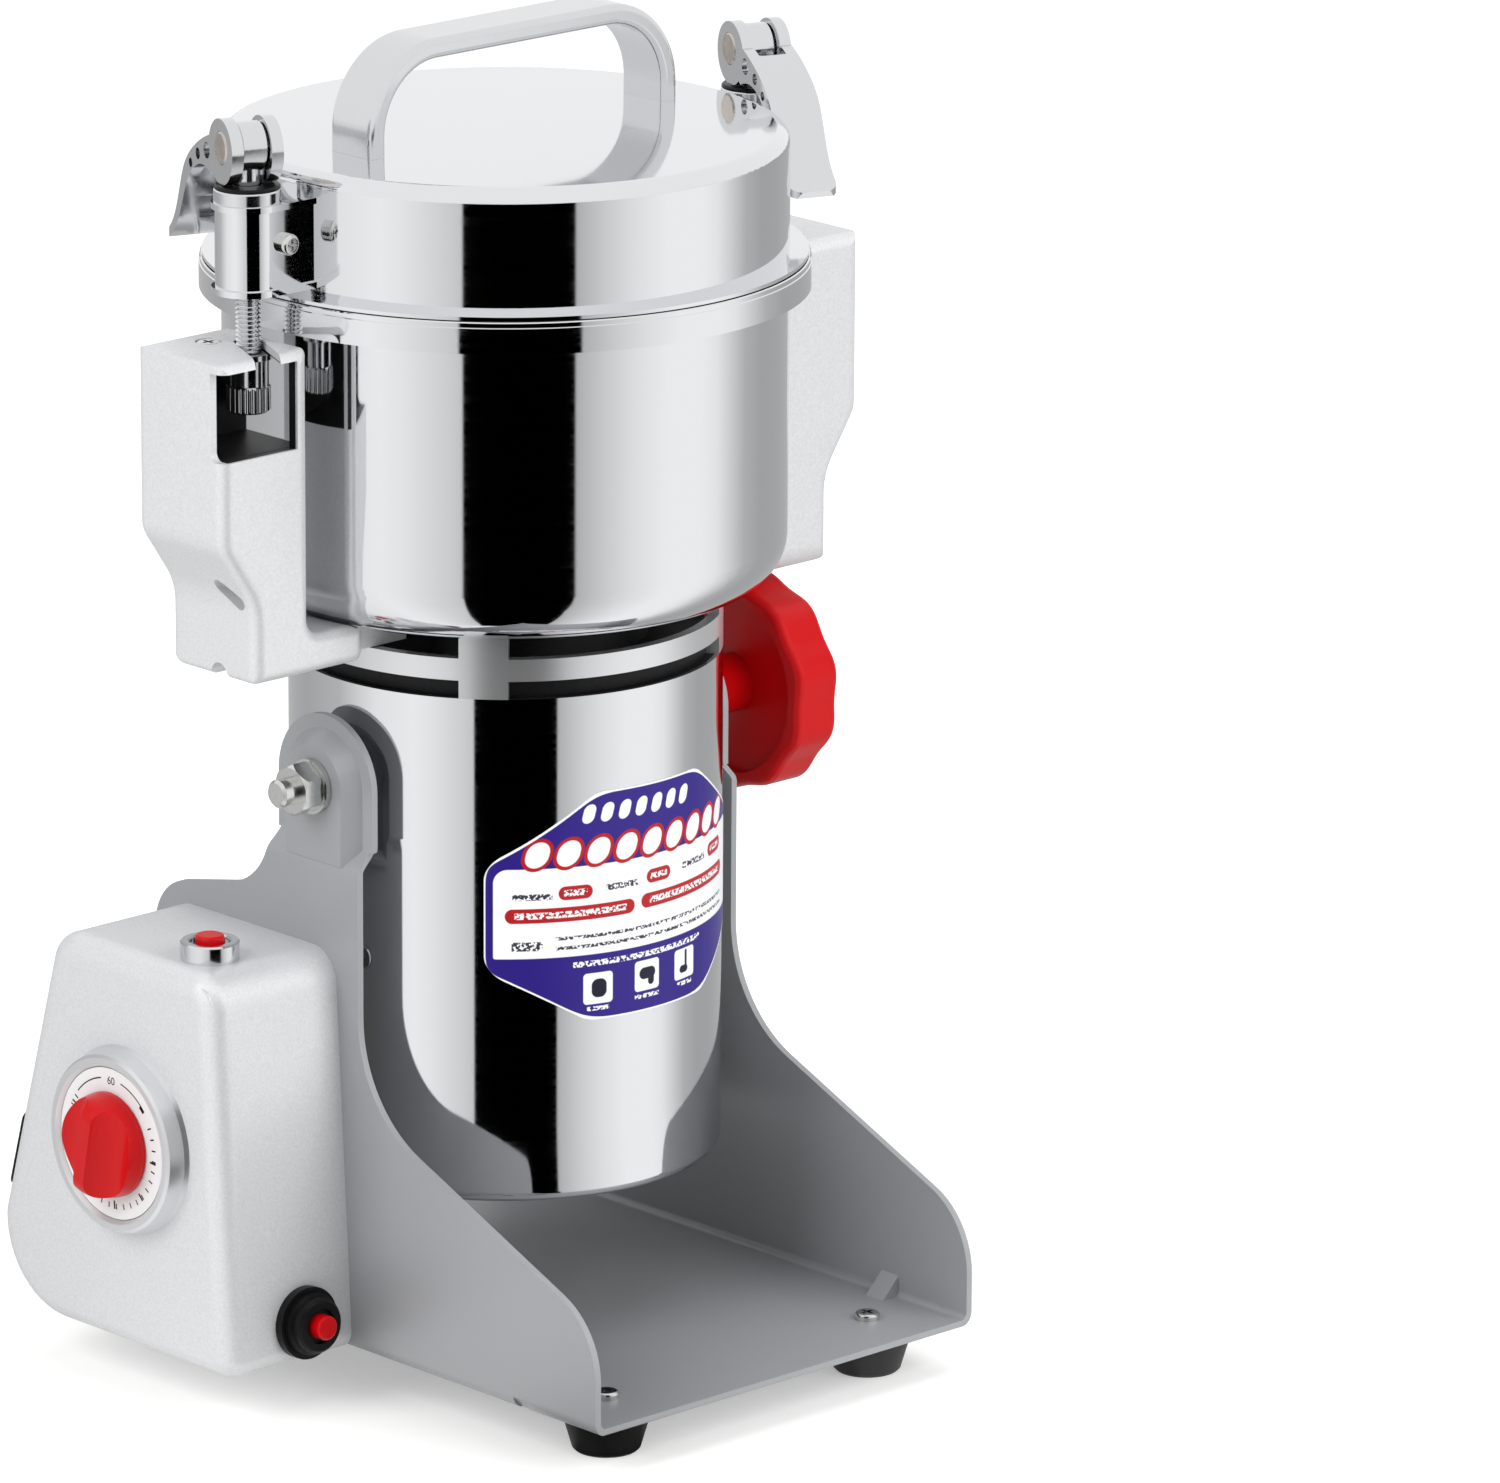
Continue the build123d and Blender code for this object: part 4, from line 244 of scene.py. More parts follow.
def buffed_bar(tint):
    """Stainless bar, buffed along its length: bright, with short lines from the belt."""
    material, tree, shader = new_finish("buffed_stainless", Metallic=1.0, Base_Color=tint)
    place = put(tree, "ShaderNodeTexCoord").outputs["Object"]
    along = put(tree, "ShaderNodeMapping", {"Vector": place, "Scale": (40.0, 1400.0, 60.0)}).outputs["Vector"]
    lines = put(tree, "ShaderNodeTexNoise", {"Vector": along, "Scale": 1.0, "Detail": 3.0}).outputs["Fac"]
    vary(tree, lines, 0.12, 0.2, shader.inputs["Roughness"])
    add_bump(tree, shader, lines, 0.03, 0.03 * MM)
    return material


def satin_ring():
    """Ring under satin nickel: soft sheen over a fine grain half a millimetre across."""
    material, tree, shader = new_finish("satin_nickel", Metallic=0.85, Base_Color=linear("#DFE0E2"))
    satin = grain(tree, 0.5 * MM)
    vary(tree, satin, 0.28, 0.32, shader.inputs["Roughness"])
    add_bump(tree, shader, satin, 0.03, 0.03 * MM)
    return material


def plated_casting():
    """Nickel-chrome plate on a cast and tumbled part: bright, with a soft ripple."""
    material, tree, shader = new_finish("bright_plate", Metallic=1.0, Base_Color=linear("#D9DADC"))
    vary(tree, grain(tree, 6 * MM), 0.09, 0.17, shader.inputs["Roughness"])
    add_bump(tree, shader, grain(tree, 4 * MM), 0.10, 0.15 * MM)
    return material


def plain_steel():
    """Turned or milled steel: fine tool lines and a cloudy sheen."""
    material, tree, shader = new_finish("machined_steel", Metallic=1.0, Base_Color=linear("#B9BABC"))
    vary(tree, grain(tree, 0.8 * MM), 0.24, 0.36, shader.inputs["Roughness"])
    add_bump(tree, shader, grain(tree, 0.5 * MM), 0.06, 0.05 * MM)
    return material


def zinc_plate():
    """Bright zinc on screws and nuts: a little milky, with small spangles."""
    material, tree, shader = new_finish("zinc_plate", Metallic=1.0)
    spangle = grain(tree, 1.4 * MM)
    vary_colour(tree, spangle, linear("#D2D2D0"), linear("#DCDCDA"), shader.inputs["Base Color"])
    vary(tree, spangle, 0.14, 0.2, shader.inputs["Roughness"])
    return material


def bronze_pin():
    """Dull bronze of the levers' pins, tarnished in clouds."""
    material, tree, shader = new_finish("tarnished_bronze", Metallic=1.0)
    clouds = grain(tree, 3 * MM)
    vary_colour(tree, clouds, linear("#B3A9A2"), linear("#D6CEC8"), shader.inputs["Base Color"])
    vary(tree, clouds, 0.2, 0.34, shader.inputs["Roughness"])
    return material


def moulded_plastic(name, tint, roughness, texture, coat=0.0):
    """Injection-moulded plastic: even colour over a fine spark-eroded texture."""
    material, tree, shader = new_finish(name, Base_Color=tint, Roughness=roughness, Coat_Weight=coat,
                                        Coat_Roughness=0.05, Specular_IOR_Level=0.18)
    add_bump(tree, shader, grain(tree, texture), 0.05, 0.1 * MM)
    return material


def rubber():
    """Moulded nitrile rubber: matt black, a little dusty."""
    material, tree, shader = new_finish("black_rubber", Roughness=0.62, IOR=1.5)
    vary_colour(tree, grain(tree, 5 * MM), linear("#131313"), linear("#1F1F1F"), shader.inputs["Base Color"])
    add_bump(tree, shader, grain(tree, 0.7 * MM), 0.12, 0.1 * MM)
    return material


def silicone():
    """Pressed silicone of the lid's seal: off-white and faintly waxy."""
    material, tree, shader = new_finish("white_silicone", Roughness=0.5, IOR=1.42)
    vary_colour(tree, grain(tree, 8 * MM), linear("#DAD9D5"), linear("#E4E3DF"), shader.inputs["Base Color"])
    return material


def cast_metal(name, dark, light, roughness):
    """Rough casting: mottled, with the skin of its mould."""
    material, tree, shader = new_finish(name, Roughness=roughness, Metallic=0.6)
    skin = grain(tree, 1.6 * MM, detail=4.0)
    vary_colour(tree, skin, linear(dark), linear(light), shader.inputs["Base Color"])
    add_bump(tree, shader, skin, 0.25, 0.3 * MM)
    return material


WAVE_TURN = 20                      # radians by which a wave texture turns in a metre, at a scale of 1


def layers(tree, radian, distortion):
    """Level bands one above another, whose wave turns by one radian in the given height."""
    place = put(tree, "ShaderNodeTexCoord").outputs["Object"]
    return put(tree, "ShaderNodeTexWave",
               {"Vector": place, "Scale": 1 / radian / WAVE_TURN, "Distortion": distortion},
               bands_direction="Z").outputs["Fac"]


def stacked_sheets():
    """Core of stacked steel sheets, shaded in broad level bands."""
    material, tree, shader = new_finish("stacked_core_sheets", Metallic=0.8, Roughness=0.42)
    sheets = layers(tree, 2 * MM, 0.1)
    vary_colour(tree, sheets, linear("#4A4B4D"), linear("#77787A"), shader.inputs["Base Color"])
    add_bump(tree, shader, sheets, 0.3, 0.2 * MM)
    return material


def enamelled_wire():
    """Copper wire under clear enamel, wound in layers and shaded in level bands."""
    material, tree, shader = new_finish("enamelled_copper", Metallic=1.0, Roughness=0.28)
    turns = layers(tree, 1 * MM, 0.6)
    vary_colour(tree, turns, linear("#7D3F22"), linear("#C9784A"), shader.inputs["Base Color"])
    add_bump(tree, shader, turns, 0.4, 0.3 * MM)
    return material


# ---- label print ----------------------------------------------------------------------------
LABEL_LOW, LABEL_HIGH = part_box("label")
LABEL_HALF = (LABEL_HIGH[2] - LABEL_LOW[2]) / 2
LABEL_SIDE = 0.836 * TUBE_R        # half the label's width along the tube
# The label's two slants as (share across, share up, reach in millimetres)
LABEL_CUTS = ((0.5955, 0.8035, 37.52), (0.5342, -0.8454, 39.27))
CUT_ROUND = 5.0                     # how softly a slant runs into the next edge
EDGE_STRIP = (-0.55, -0.4)          # millimetres from the label's edge where the white starts and is full
# Rounded panels as (across, up, half width, half height, corner) in millimetres from the label's middle
WHITE_FIELD = [(0, -0.9, 48.4, 12.9, 4.0), (0, -7.0, 48.4, 6.8, 0.6)]
RED_PILLS = [(-25.2, 4.6, 5.0, 2.0, 2.0), (2.0, 5.8, 4.6, 2.0, 2.0), (32.0, 6.6, 5.5, 2.0, 2.0),
             (-26.0, -1.5, 19.2, 2.1, 2.1), (17.5, -1.0, 22.0, 2.1, 2.1)]
SMALL_PRINT = [(-37.5, 3.9, 5.6, 0.9, 0.3), (-10.8, 5.0, 5.2, 0.9, 0.3), (18.0, 6.0, 6.0, 0.9, 0.3),
               (4.0, -8.4, 35.0, 0.5, 0.2), (4.0, -11.2, 35.0, 0.5, 0.2), (-39.0, -10.3, 4.3, 1.3, 0.3)]
PALE_PRINT = [(-26.0, -1.5, 16.5, 0.9, 0.3), (17.5, -1.0, 19.0, 0.9, 0.3), (-25.2, 4.6, 3.4, 0.9, 0.3),
              (2.0, 5.8, 3.2, 0.8, 0.3), (32.0, 6.6, 3.6, 0.8, 0.3), (-2.5, -16.4, 23.5, 0.8, 0.3),
              (-18.5, -29.6, 3.4, 0.6, 0.2), (-2.3, -28.5, 4.4, 0.6, 0.2), (13.2, -28.3, 3.4, 0.6, 0.2)]
ICON_SQUARES = [(-18.5, -23.8, 4.5, 4.5, 1.1), (-2.3, -22.6, 4.4, 4.4, 1.1), (13.2, -22.6, 4.6, 4.4, 1.1)]
ICON_SEEDS = [(-18.2, -23.8, 2.3, 2.7, 1.9), (-2.2, -22.0, 2.9, 1.7, 1.7), (-0.9, -23.6, 1.1, 2.0, 1.1),
              (13.8, -21.7, 0.5, 3.0, 0.5), (12.8, -24.2, 1.9, 1.1, 1.1)]
# Rows of leaning grains as (across, up, count, spacing, half width, half height) in millimetres
LARGE_GRAINS = (-0.5, 16.0, 9, 8.9, 3.3, 3.7)
SMALL_GRAINS = (-4.5, 26.8, 7, 5.6, 1.8, 2.7)
GRAIN_LEAN = 0.25                   # millimetres across for each millimetre up
OUTLINE_WIDTH = 1.05                # red outline round each large grain


def unrolled(tree):
    """Millimetres across the label along the tube, straight across it, and up, from its middle."""
    place = put(tree, "ShaderNodeTexCoord").outputs["Object"]
    centre = (-AXIS.x, -AXIS.y, -(LABEL_LOW[2] + LABEL_HIGH[2]) / 2)
    moved = put(tree, "ShaderNodeVectorMath", {0: place, 1: centre}, operation="ADD").outputs[0]
    parts = put(tree, "ShaderNodeSeparateXYZ", {0: moved}).outputs
    front = put(tree, "ShaderNodeMath", {0: parts[1], 1: -1.0}, operation="MULTIPLY").outputs[0]
    angle = put(tree, "ShaderNodeMath", {0: parts[0], 1: front}, operation="ARCTAN2").outputs[0]
    across = put(tree, "ShaderNodeMath", {0: angle, 1: TUBE_R / MM}, operation="MULTIPLY").outputs[0]
    straight = put(tree, "ShaderNodeMath", {0: parts[0], 1: 1 / MM}, operation="MULTIPLY").outputs[0]
    up = put(tree, "ShaderNodeMath", {0: parts[2], 1: 1 / MM}, operation="MULTIPLY").outputs[0]
    return across, straight, up


def panel_mask(tree, across, up, panel):
    """White inside a rounded panel, black outside, with an edge 0.2 mm wide."""
    x, y, half_width, half_height, corner = panel
    reaches = []
    for socket, at, half in ((across, x, half_width), (up, y, half_height)):
        off = put(tree, "ShaderNodeMath", {0: socket, 1: at}, operation="SUBTRACT").outputs[0]
        size = put(tree, "ShaderNodeMath", {0: off}, operation="ABSOLUTE").outputs[0]
        past = put(tree, "ShaderNodeMath", {0: size, 1: half - corner}, operation="SUBTRACT").outputs[0]
        over = put(tree, "ShaderNodeMath", {0: past, 1: 0.0}, operation="MAXIMUM").outputs[0]
        reaches.append(put(tree, "ShaderNodeMath", {0: over, 1: over}, operation="MULTIPLY").outputs[0])
    both = put(tree, "ShaderNodeMath", {0: reaches[0], 1: reaches[1]}, operation="ADD").outputs[0]
    reach = put(tree, "ShaderNodeMath", {0: both}, operation="SQRT").outputs[0]
    return put(tree, "ShaderNodeMapRange", {"Value": reach, "From Min": corner - 0.1,
                                            "From Max": corner + 0.1, "To Min": 1.0,
                                            "To Max": 0.0}).outputs["Result"]


def edge_mask(tree, across, straight, up):
    """White in a strip half a millimetre wide along the label's eight-sided edge."""
    wide = put(tree, "ShaderNodeMath", {0: across}, operation="ABSOLUTE").outputs[0]
    flat = put(tree, "ShaderNodeMath", {0: straight}, operation="ABSOLUTE").outputs[0]
    tall = put(tree, "ShaderNodeMath", {0: up}, operation="ABSOLUTE").outputs[0]
    side = put(tree, "ShaderNodeMath", {0: wide, 1: LABEL_SIDE / MM}, operation="SUBTRACT").outputs[0]
    top = put(tree, "ShaderNodeMath", {0: tall, 1: LABEL_HALF / MM}, operation="SUBTRACT").outputs[0]
    past = put(tree, "ShaderNodeMath", {0: side, 1: top}, operation="MAXIMUM").outputs[0]
    for share_across, share_up, reach in LABEL_CUTS:
        along = put(tree, "ShaderNodeMath", {0: flat, 1: share_across, 2: -reach},
                    operation="MULTIPLY_ADD").outputs[0]
        cut = put(tree, "ShaderNodeMath", {0: up, 1: share_up, 2: along}, operation="MULTIPLY_ADD").outputs[0]
        past = put(tree, "ShaderNodeMath", {0: past, 1: cut, 2: CUT_ROUND}, operation="SMOOTH_MAX").outputs[0]
    return put(tree, "ShaderNodeMapRange", {"Value": past, "From Min": EDGE_STRIP[0],
                                            "From Max": EDGE_STRIP[1]}).outputs["Result"]


def grain_row(tree, across, up, row, grown=0.0):
    """White inside each of a row of leaning grains, made larger all round by some millimetres."""
    x, y, count, spacing, half_width, half_height = row
    upright = put(tree, "ShaderNodeMath", {0: up, 1: -GRAIN_LEAN, 2: GRAIN_LEAN * y - x},
                  operation="MULTIPLY_ADD").outputs[0]
    place = put(tree, "ShaderNodeMath", {0: across, 1: upright}, operation="ADD").outputs[0]
    turn = put(tree, "ShaderNodeMath", {0: place, 1: spacing / 2, 2: -spacing / 2},
               operation="WRAP").outputs[0]
    width = half_width + grown
    one = panel_mask(tree, turn, up, (0, y, width, half_height + grown, width))
    whole = panel_mask(tree, place, up, (0, y, count * spacing / 2, half_height + 2, 0.2))
    return put(tree, "ShaderNodeMath", {0: one, 1: whole}, operation="MULTIPLY").outputs[0]


def broken(tree, across, up):
    """White blots about a millimetre apart, which break a line up like small print seen from afar."""
    place = put(tree, "ShaderNodeCombineXYZ", {0: across, 1: up}).outputs[0]
    blots = put(tree, "ShaderNodeTexNoise", {"Vector": place, "Scale": 1.1, "Detail": 1.0}).outputs["Fac"]
    return put(tree, "ShaderNodeMapRange",
               {"Value": blots, "From Min": 0.44, "From Max": 0.5}).outputs["Result"]


def overprint(tree, ground, panels, ink, across, up, pattern=None):
    """Print panels of one ink over a colour, through a pattern where one is given."""
    masks = [panel_mask(tree, across, up, panel) for panel in panels]
    whole = masks[0]
    for mask in masks[1:]:
        whole = put(tree, "ShaderNodeMath", {0: whole, 1: mask}, operation="MAXIMUM").outputs[0]
    if pattern:
        whole = put(tree, "ShaderNodeMath", {0: whole, 1: pattern}, operation="MULTIPLY").outputs[0]
    return stamped(tree, ground, whole, ink)


def printed_label(violet):
    """Screen-printed vinyl film: violet ground, rows of grains, white field, red pills and three icons."""
    material, tree, shader = new_finish("printed_vinyl", Roughness=0.32, Specular_IOR_Level=0.3)
    across, straight, up = unrolled(tree)
    white, red = linear("#F4F4F6"), linear("#B3141C")
    blots = broken(tree, across, up)
    ink = overprint(tree, violet, WHITE_FIELD, white, across, up)
    ink = stamped(tree, ink, grain_row(tree, across, up, LARGE_GRAINS, OUTLINE_WIDTH), red)
    ink = stamped(tree, ink, grain_row(tree, across, up, LARGE_GRAINS), white)
    ink = stamped(tree, ink, grain_row(tree, across, up, SMALL_GRAINS), white)
    ink = overprint(tree, ink, RED_PILLS, red, across, up)
    ink = overprint(tree, ink, SMALL_PRINT, linear("#3A3A46"), across, up, blots)
    ink = overprint(tree, ink, ICON_SQUARES, white, across, up)
    ink = overprint(tree, ink, ICON_SEEDS, linear("#17142E"), across, up)
    ink = overprint(tree, ink, PALE_PRINT, white, across, up, blots)
    ink = stamped(tree, ink, edge_mask(tree, across, straight, up), white)
    tree.links.new(ink, shader.inputs["Base Color"])
    return material


# ---- pieces ---------------------------------------------------------------------------------
def dial_frame():
    """Matrix from the dial's own plane, with x to the viewer's right, to the mill."""
    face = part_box("dial_plate")[0][0]
    at = middle("dial_plate")
    return Matrix(((0, 0, -1, face), (-1, 0, 0, at.y), (0, 1, 0, at.z), (0, 0, 0, 1)))


# Sets of marks: name, marks, middle and sweep in degrees from the viewer's right, then length and width
# as shares of a short mark's
MARK_SETS = (("dial_marks", 25, -94.2, 241.0, 1.0, 1.0), ("dial_long_marks", 6, -107.0, 203.0, 1.5, 1.35),
             ("dial_arc_left", 48, 121.4, 34.7, 0.22, 1.2), ("dial_arc_right", 48, 59.3, 34.6, 0.22, 1.2),
             ("dial_arrow", 4, 44.5, 5.0, 0.7, 1.4))


def marks_tree(material):
    """Geometry Nodes tree that sets equal marks round an arc."""
    tree = bpy.data.node_groups.new("dial_marks", "GeometryNodeTree")
    for name in ("Ring", "Length", "Width", "Height", "Middle", "Sweep"):
        tree.interface.new_socket(name, in_out="INPUT", socket_type="NodeSocketFloat")
    tree.interface.new_socket("Count", in_out="INPUT", socket_type="NodeSocketInt")
    tree.interface.new_socket("Geometry", in_out="OUTPUT", socket_type="NodeSocketGeometry")
    given = put(tree, "NodeGroupInput").outputs
    box = put(tree, "ShaderNodeCombineXYZ", {0: given["Length"], 1: given["Width"], 2: given["Height"]})
    mark = put(tree, "GeometryNodeMeshCube", {"Size": box.outputs[0]}).outputs["Mesh"]
    half = put(tree, "ShaderNodeMath", {0: given["Length"], 1: -0.5}, operation="MULTIPLY").outputs[0]
    reach = put(tree, "ShaderNodeMath", {0: given["Ring"], 1: half}, operation="ADD").outputs[0]
    step = put(tree, "ShaderNodeMath", {0: given["Count"], 1: 1.0}, operation="SUBTRACT").outputs[0]
    number = put(tree, "GeometryNodeInputIndex").outputs[0]
    share = put(tree, "ShaderNodeMath", {0: number, 1: step}, operation="DIVIDE").outputs[0]
    centred = put(tree, "ShaderNodeMath", {0: share, 1: 0.5}, operation="SUBTRACT").outputs[0]
    angle = put(tree, "ShaderNodeMath", {0: centred, 1: given["Sweep"], 2: given["Middle"]},
                operation="MULTIPLY_ADD").outputs[0]
    east = put(tree, "ShaderNodeMath", {0: angle}, operation="COSINE").outputs[0]
    north = put(tree, "ShaderNodeMath", {0: angle}, operation="SINE").outputs[0]
    way = put(tree, "ShaderNodeCombineXYZ", {0: east, 1: north})
    place = put(tree, "ShaderNodeVectorMath", {0: way.outputs[0], "Scale": reach},
                operation="SCALE").outputs[0]
    points = put(tree, "GeometryNodePoints", {"Count": given["Count"], "Position": place}).outputs[0]
    spin = put(tree, "ShaderNodeCombineXYZ", {2: angle}).outputs[0]
    marks = put(tree, "GeometryNodeInstanceOnPoints", {"Points": points, "Instance": mark, "Rotation": spin})
    real = put(tree, "GeometryNodeRealizeInstances", {"Geometry": marks.outputs[0]}).outputs[0]
    inked = put(tree, "GeometryNodeSetMaterial", {"Geometry": real, "Material": material}).outputs[0]
    put(tree, "NodeGroupOutput", {0: inked})
    return tree


def from_nodes(name, tree, values):
    """The plain mesh that a Geometry Nodes tree makes from its inputs."""
    carrier = bpy.data.objects.new(name + "_maker", bpy.data.meshes.new(name + "_maker"))
    bpy.context.collection.objects.link(carrier)
    modifier = carrier.modifiers.new("marks", "NODES")
    modifier.node_group = tree
    for item in tree.interface.items_tree:
        if item.in_out == "INPUT":
            modifier[item.identifier] = values[item.name]
    depsgraph = bpy.context.evaluated_depsgraph_get()
    mesh = bpy.data.meshes.new_from_object(carrier.evaluated_get(depsgraph))
    carrier.modifiers.remove(modifier)
    bpy.data.objects.remove(carrier)
    return mesh


FONT_SIZE = 1.4                     # the font's size for a digit of height 1


def number_mesh(digits, height, depth, material):
    """Flat mesh of a printed number, centred on its own middle."""
    curve = bpy.data.curves.new("dial_number", "FONT")
    curve.body, curve.size, curve.extrude = digits, height * FONT_SIZE, depth / 2
    curve.align_x, curve.align_y = "CENTER", "CENTER"
    carrier = bpy.data.objects.new("dial_number_maker", curve)
    bpy.context.collection.objects.link(carrier)
    depsgraph = bpy.context.evaluated_depsgraph_get()
    mesh = bpy.data.meshes.new_from_object(carrier.evaluated_get(depsgraph))
    bpy.data.objects.remove(carrier)
    mesh.materials.clear()
    mesh.materials.append(material)
    return mesh


def print_on_dial(name, mesh):
    """Set a printed mesh down on the dial as a piece of its own."""
    mesh.transform(dial_frame())
    piece = bpy.data.objects.new(name, mesh)
    bpy.context.collection.objects.link(piece)
    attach(piece, "base")


class Maker:
    """What the operators share: each can be undone."""
    bl_options = {"REGISTER", "UNDO"}


class MILL_OT_sheet_and_castings(Maker, bpy.types.Operator):
    """Paint the frame, the control box, the arms and the dark castings"""
    bl_idname = "mill.sheet_and_castings"
    bl_label = "Paint frame and castings"

    def execute(self, context):
        finishes = context.scene.mill_finishes
        wear(powder_coat(tuple(finishes.paint)), "frame")
        wear(sand_paint(tuple(finishes.casting)), "control_box")
        wear(arm_paint(tuple(finishes.casting)), "clamp_arms")
        wear(cast_metal("black_casting", "#161617", "#232325", 0.5), "end_bell", "bottom_cover")
        wear(cast_metal("plain_casting", "#9A9B9D", "#B4B5B7", 0.42), "lower_shield")
        return {"FINISHED"}


class MILL_OT_bright_metal(Maker, bpy.types.Operator):
    """Polish the bowl, lid, tube and clamps, and plate the screws"""
    bl_idname = "mill.bright_metal"
    bl_label = "Polish and plate metal"

    def execute(self, context):
        steel = tuple(context.scene.mill_finishes.steel)
        wear(mirror_steel(steel), "motor_tube", "bowl", "lid_shell", "bolt_sleeves")
        # The handle wears the same steel painted a tenth darker: painted shade.
        wear(buffed_bar(shade(steel, 0.9)), "lid_handle")
        clamp_parts = [name + side for name in ("clamp_lever", "eye_bolt", "knurled_nut", "nut_washer")
                       for side in ("_left", "_right")]
        wear(plated_casting(), "clamp_collars", "power_switch", *clamp_parts)
        wear(plain_steel(), "bearings", "hub_plate", "motor_shaft", "blades", "blade_spacers", "blade_nut")
        wear(zinc_plate(), "foot_screws", "box_screws", "mill_screws", "arm_screws", "pivot_washers",
             "pivot_studs", "pivot_nut", "sleeve_screws")
        wear(bronze_pin(), "lever_pin_left", "lever_pin_right")
        wear(satin_ring(), "dial_ring", "cooling_band")
        return {"FINISHED"}


class MILL_OT_plastic_and_rubber(Maker, bpy.types.Operator):
    """Colour the knobs, buttons, feet, seals and small fittings"""
    bl_idname = "mill.plastic_and_rubber"
    bl_label = "Colour plastic and rubber"

    def execute(self, context):
        red = tuple(context.scene.mill_finishes.red)
        glossy_red = moulded_plastic("glossy_red_abs", red, 0.3, 0.8 * MM, coat=0.12)
        wear(glossy_red, "timer_knob", "lock_knob", "power_button", "reset_button")
        black = moulded_plastic("black_phenolic", linear("#111112"), 0.34, 0.7 * MM)
        wear(black, "timer_body", "reset_breaker", "power_inlet", "brush_holders", "cam_seats")
        wear(moulded_plastic("black_nylon", linear("#1C1C1D"), 0.45, 0.7 * MM), "cooling_fan")
        wear(moulded_plastic("yellow_nylon", linear("#D9B51E"), 0.35, 0.8 * MM), "wire_grommet")
        wear(moulded_plastic("white_dial_abs", linear("#E9EAEB"), 0.34, 0.7 * MM), "dial_plate")
        wear(moulded_plastic("pressed_carbon", linear("#242426"), 0.5, 0.6 * MM), "carbon_brushes")
        wear(rubber(), "rubber_feet", "shaft_seal")
        wear(silicone(), "lid_gasket")
        return {"FINISHED"}


class MILL_OT_windings(Maker, bpy.types.Operator):
    """Finish the motor's cores, windings and commutator"""
    bl_idname = "mill.windings"
    bl_label = "Finish the motor"

    def execute(self, context):
        wear(stacked_sheets(), "stator", "armature")
        wear(enamelled_wire(), "field_coils", "commutator")
        return {"FINISHED"}


class MILL_OT_dial_print(Maker, bpy.types.Operator):
    """Print the scale on the timer's dial"""
    bl_idname = "mill.dial_print"
    bl_label = "Print the dial"

    def execute(self, context):
        ink = moulded_plastic("black_pad_ink", linear("#0C0C0D"), 0.4, 0.5 * MM)
        sizes = context.scene.mill_dial
        tree = marks_tree(ink)
        for name, count, centre, sweep, longer, wider in MARK_SETS:
            values = {"Ring": sizes.mark_ring, "Length": sizes.mark_length * longer,
                      "Height": sizes.ink_height, "Width": sizes.mark_width * wider,
                      "Middle": radians(centre), "Sweep": radians(sweep), "Count": count}
            print_on_dial(name, from_nodes(name, tree, values))
        number = number_mesh("60", sizes.number_height, sizes.ink_height, ink)
        number.transform(Matrix.Translation((0, sizes.mark_ring - sizes.number_height / 3, 0)))
        print_on_dial("dial_number", number)
        return {"FINISHED"}


class MILL_OT_label_print(Maker, bpy.types.Operator):
    """Print the label on the motor tube"""
    bl_idname = "mill.label_print"
    bl_label = "Print the label"

    def execute(self, context):
        wear(printed_label(tuple(context.scene.mill_finishes.violet)), "label")
        return {"FINISHED"}


# ---- studio ---------------------------------------------------------------------------------
FOOT_OF_AXIS = Vector((AXIS.x, AXIS.y, 0))
CAMERA_AT = FOOT_OF_AXIS + Vector((-2041.0, -2252.9, 1035.5)) * MM
CAMERA_AIM = FOOT_OF_AXIS + Vector((94.61, 0.0, 154.86)) * MM
CAMERA_ROLL = radians(0.336)
CAMERA_LENS = 269.78                # millimetres on a sensor 36 mm wide
WALL_R = 0.30                       # radius of the tent wall that the polished steel reflects
WALL_H = 0.33
CARD_IN = 0.11                      # inner radius of the cards on the floor
CARD_LIFT = 0.5 * MM                # of those cards above the floor
WALL_STEPS = 720                    # faces round the wall
FLOOR_SIDE = 6.0                    # half the floor's side
# The floor's middle round the mill, out to SHADE_OUT, is darkened with painted shade.
SHADE_IN = 0.10                     # radius of the floor's shaded middle
SHADE_OUT = 0.36                    # radius from which the floor is plain white
FLOOR_GLOW = (0.36, 0.5)            # added to the lit floor in the shaded middle and outside it
WORLD_LIGHT = 0.5                   # strength of the light that the white world gives the mill
LAMP_AIM = Vector((AXIS.x, AXIS.y, 0.18))
# Lamps: setting, side, degrees round from the camera's side, height above the aim and distance from it
LAMPS = (("key", 1.2, -55, 1.0, 1.5), ("fill", 1.2, 60, 0.8, 1.5), ("top", 1.4, 150, 1.7, 0.7))
# Tent wall's greys by the angle from the camera's side, in degrees: dark card in the middle, soft falls
# at the sides
WALL_GREYS = [(-180, 0.55), (-120, 0.45), (-90, 0.55), (-66, 0.95), (-45, 1.05), (-36, 0.98), (-19, 0.76),
              (-15.2, 0.70), (-14.6, 0.0), (24.2, 0.0), (24.8, 0.54), (36, 0.76), (47, 0.93), (60, 1.06),
              (76, 1.06), (84, 0.98), (92, 0.76), (101, 0.53), (113, 0.44), (128, 0.44), (165, 0.5),
              (180, 0.55)]


def seen_directly(tree):
    """1 for what the camera sees directly or in a mirror or glass, otherwise 0."""
    path = put(tree, "ShaderNodeLightPath").outputs
    pair = put(tree, "ShaderNodeMath", {0: path["Is Camera Ray"], 1: path["Is Glossy Ray"]},
               operation="MAXIMUM")
    return put(tree, "ShaderNodeMath", {0: pair.outputs[0], 1: path["Is Transmission Ray"]},
               operation="MAXIMUM").outputs[0]


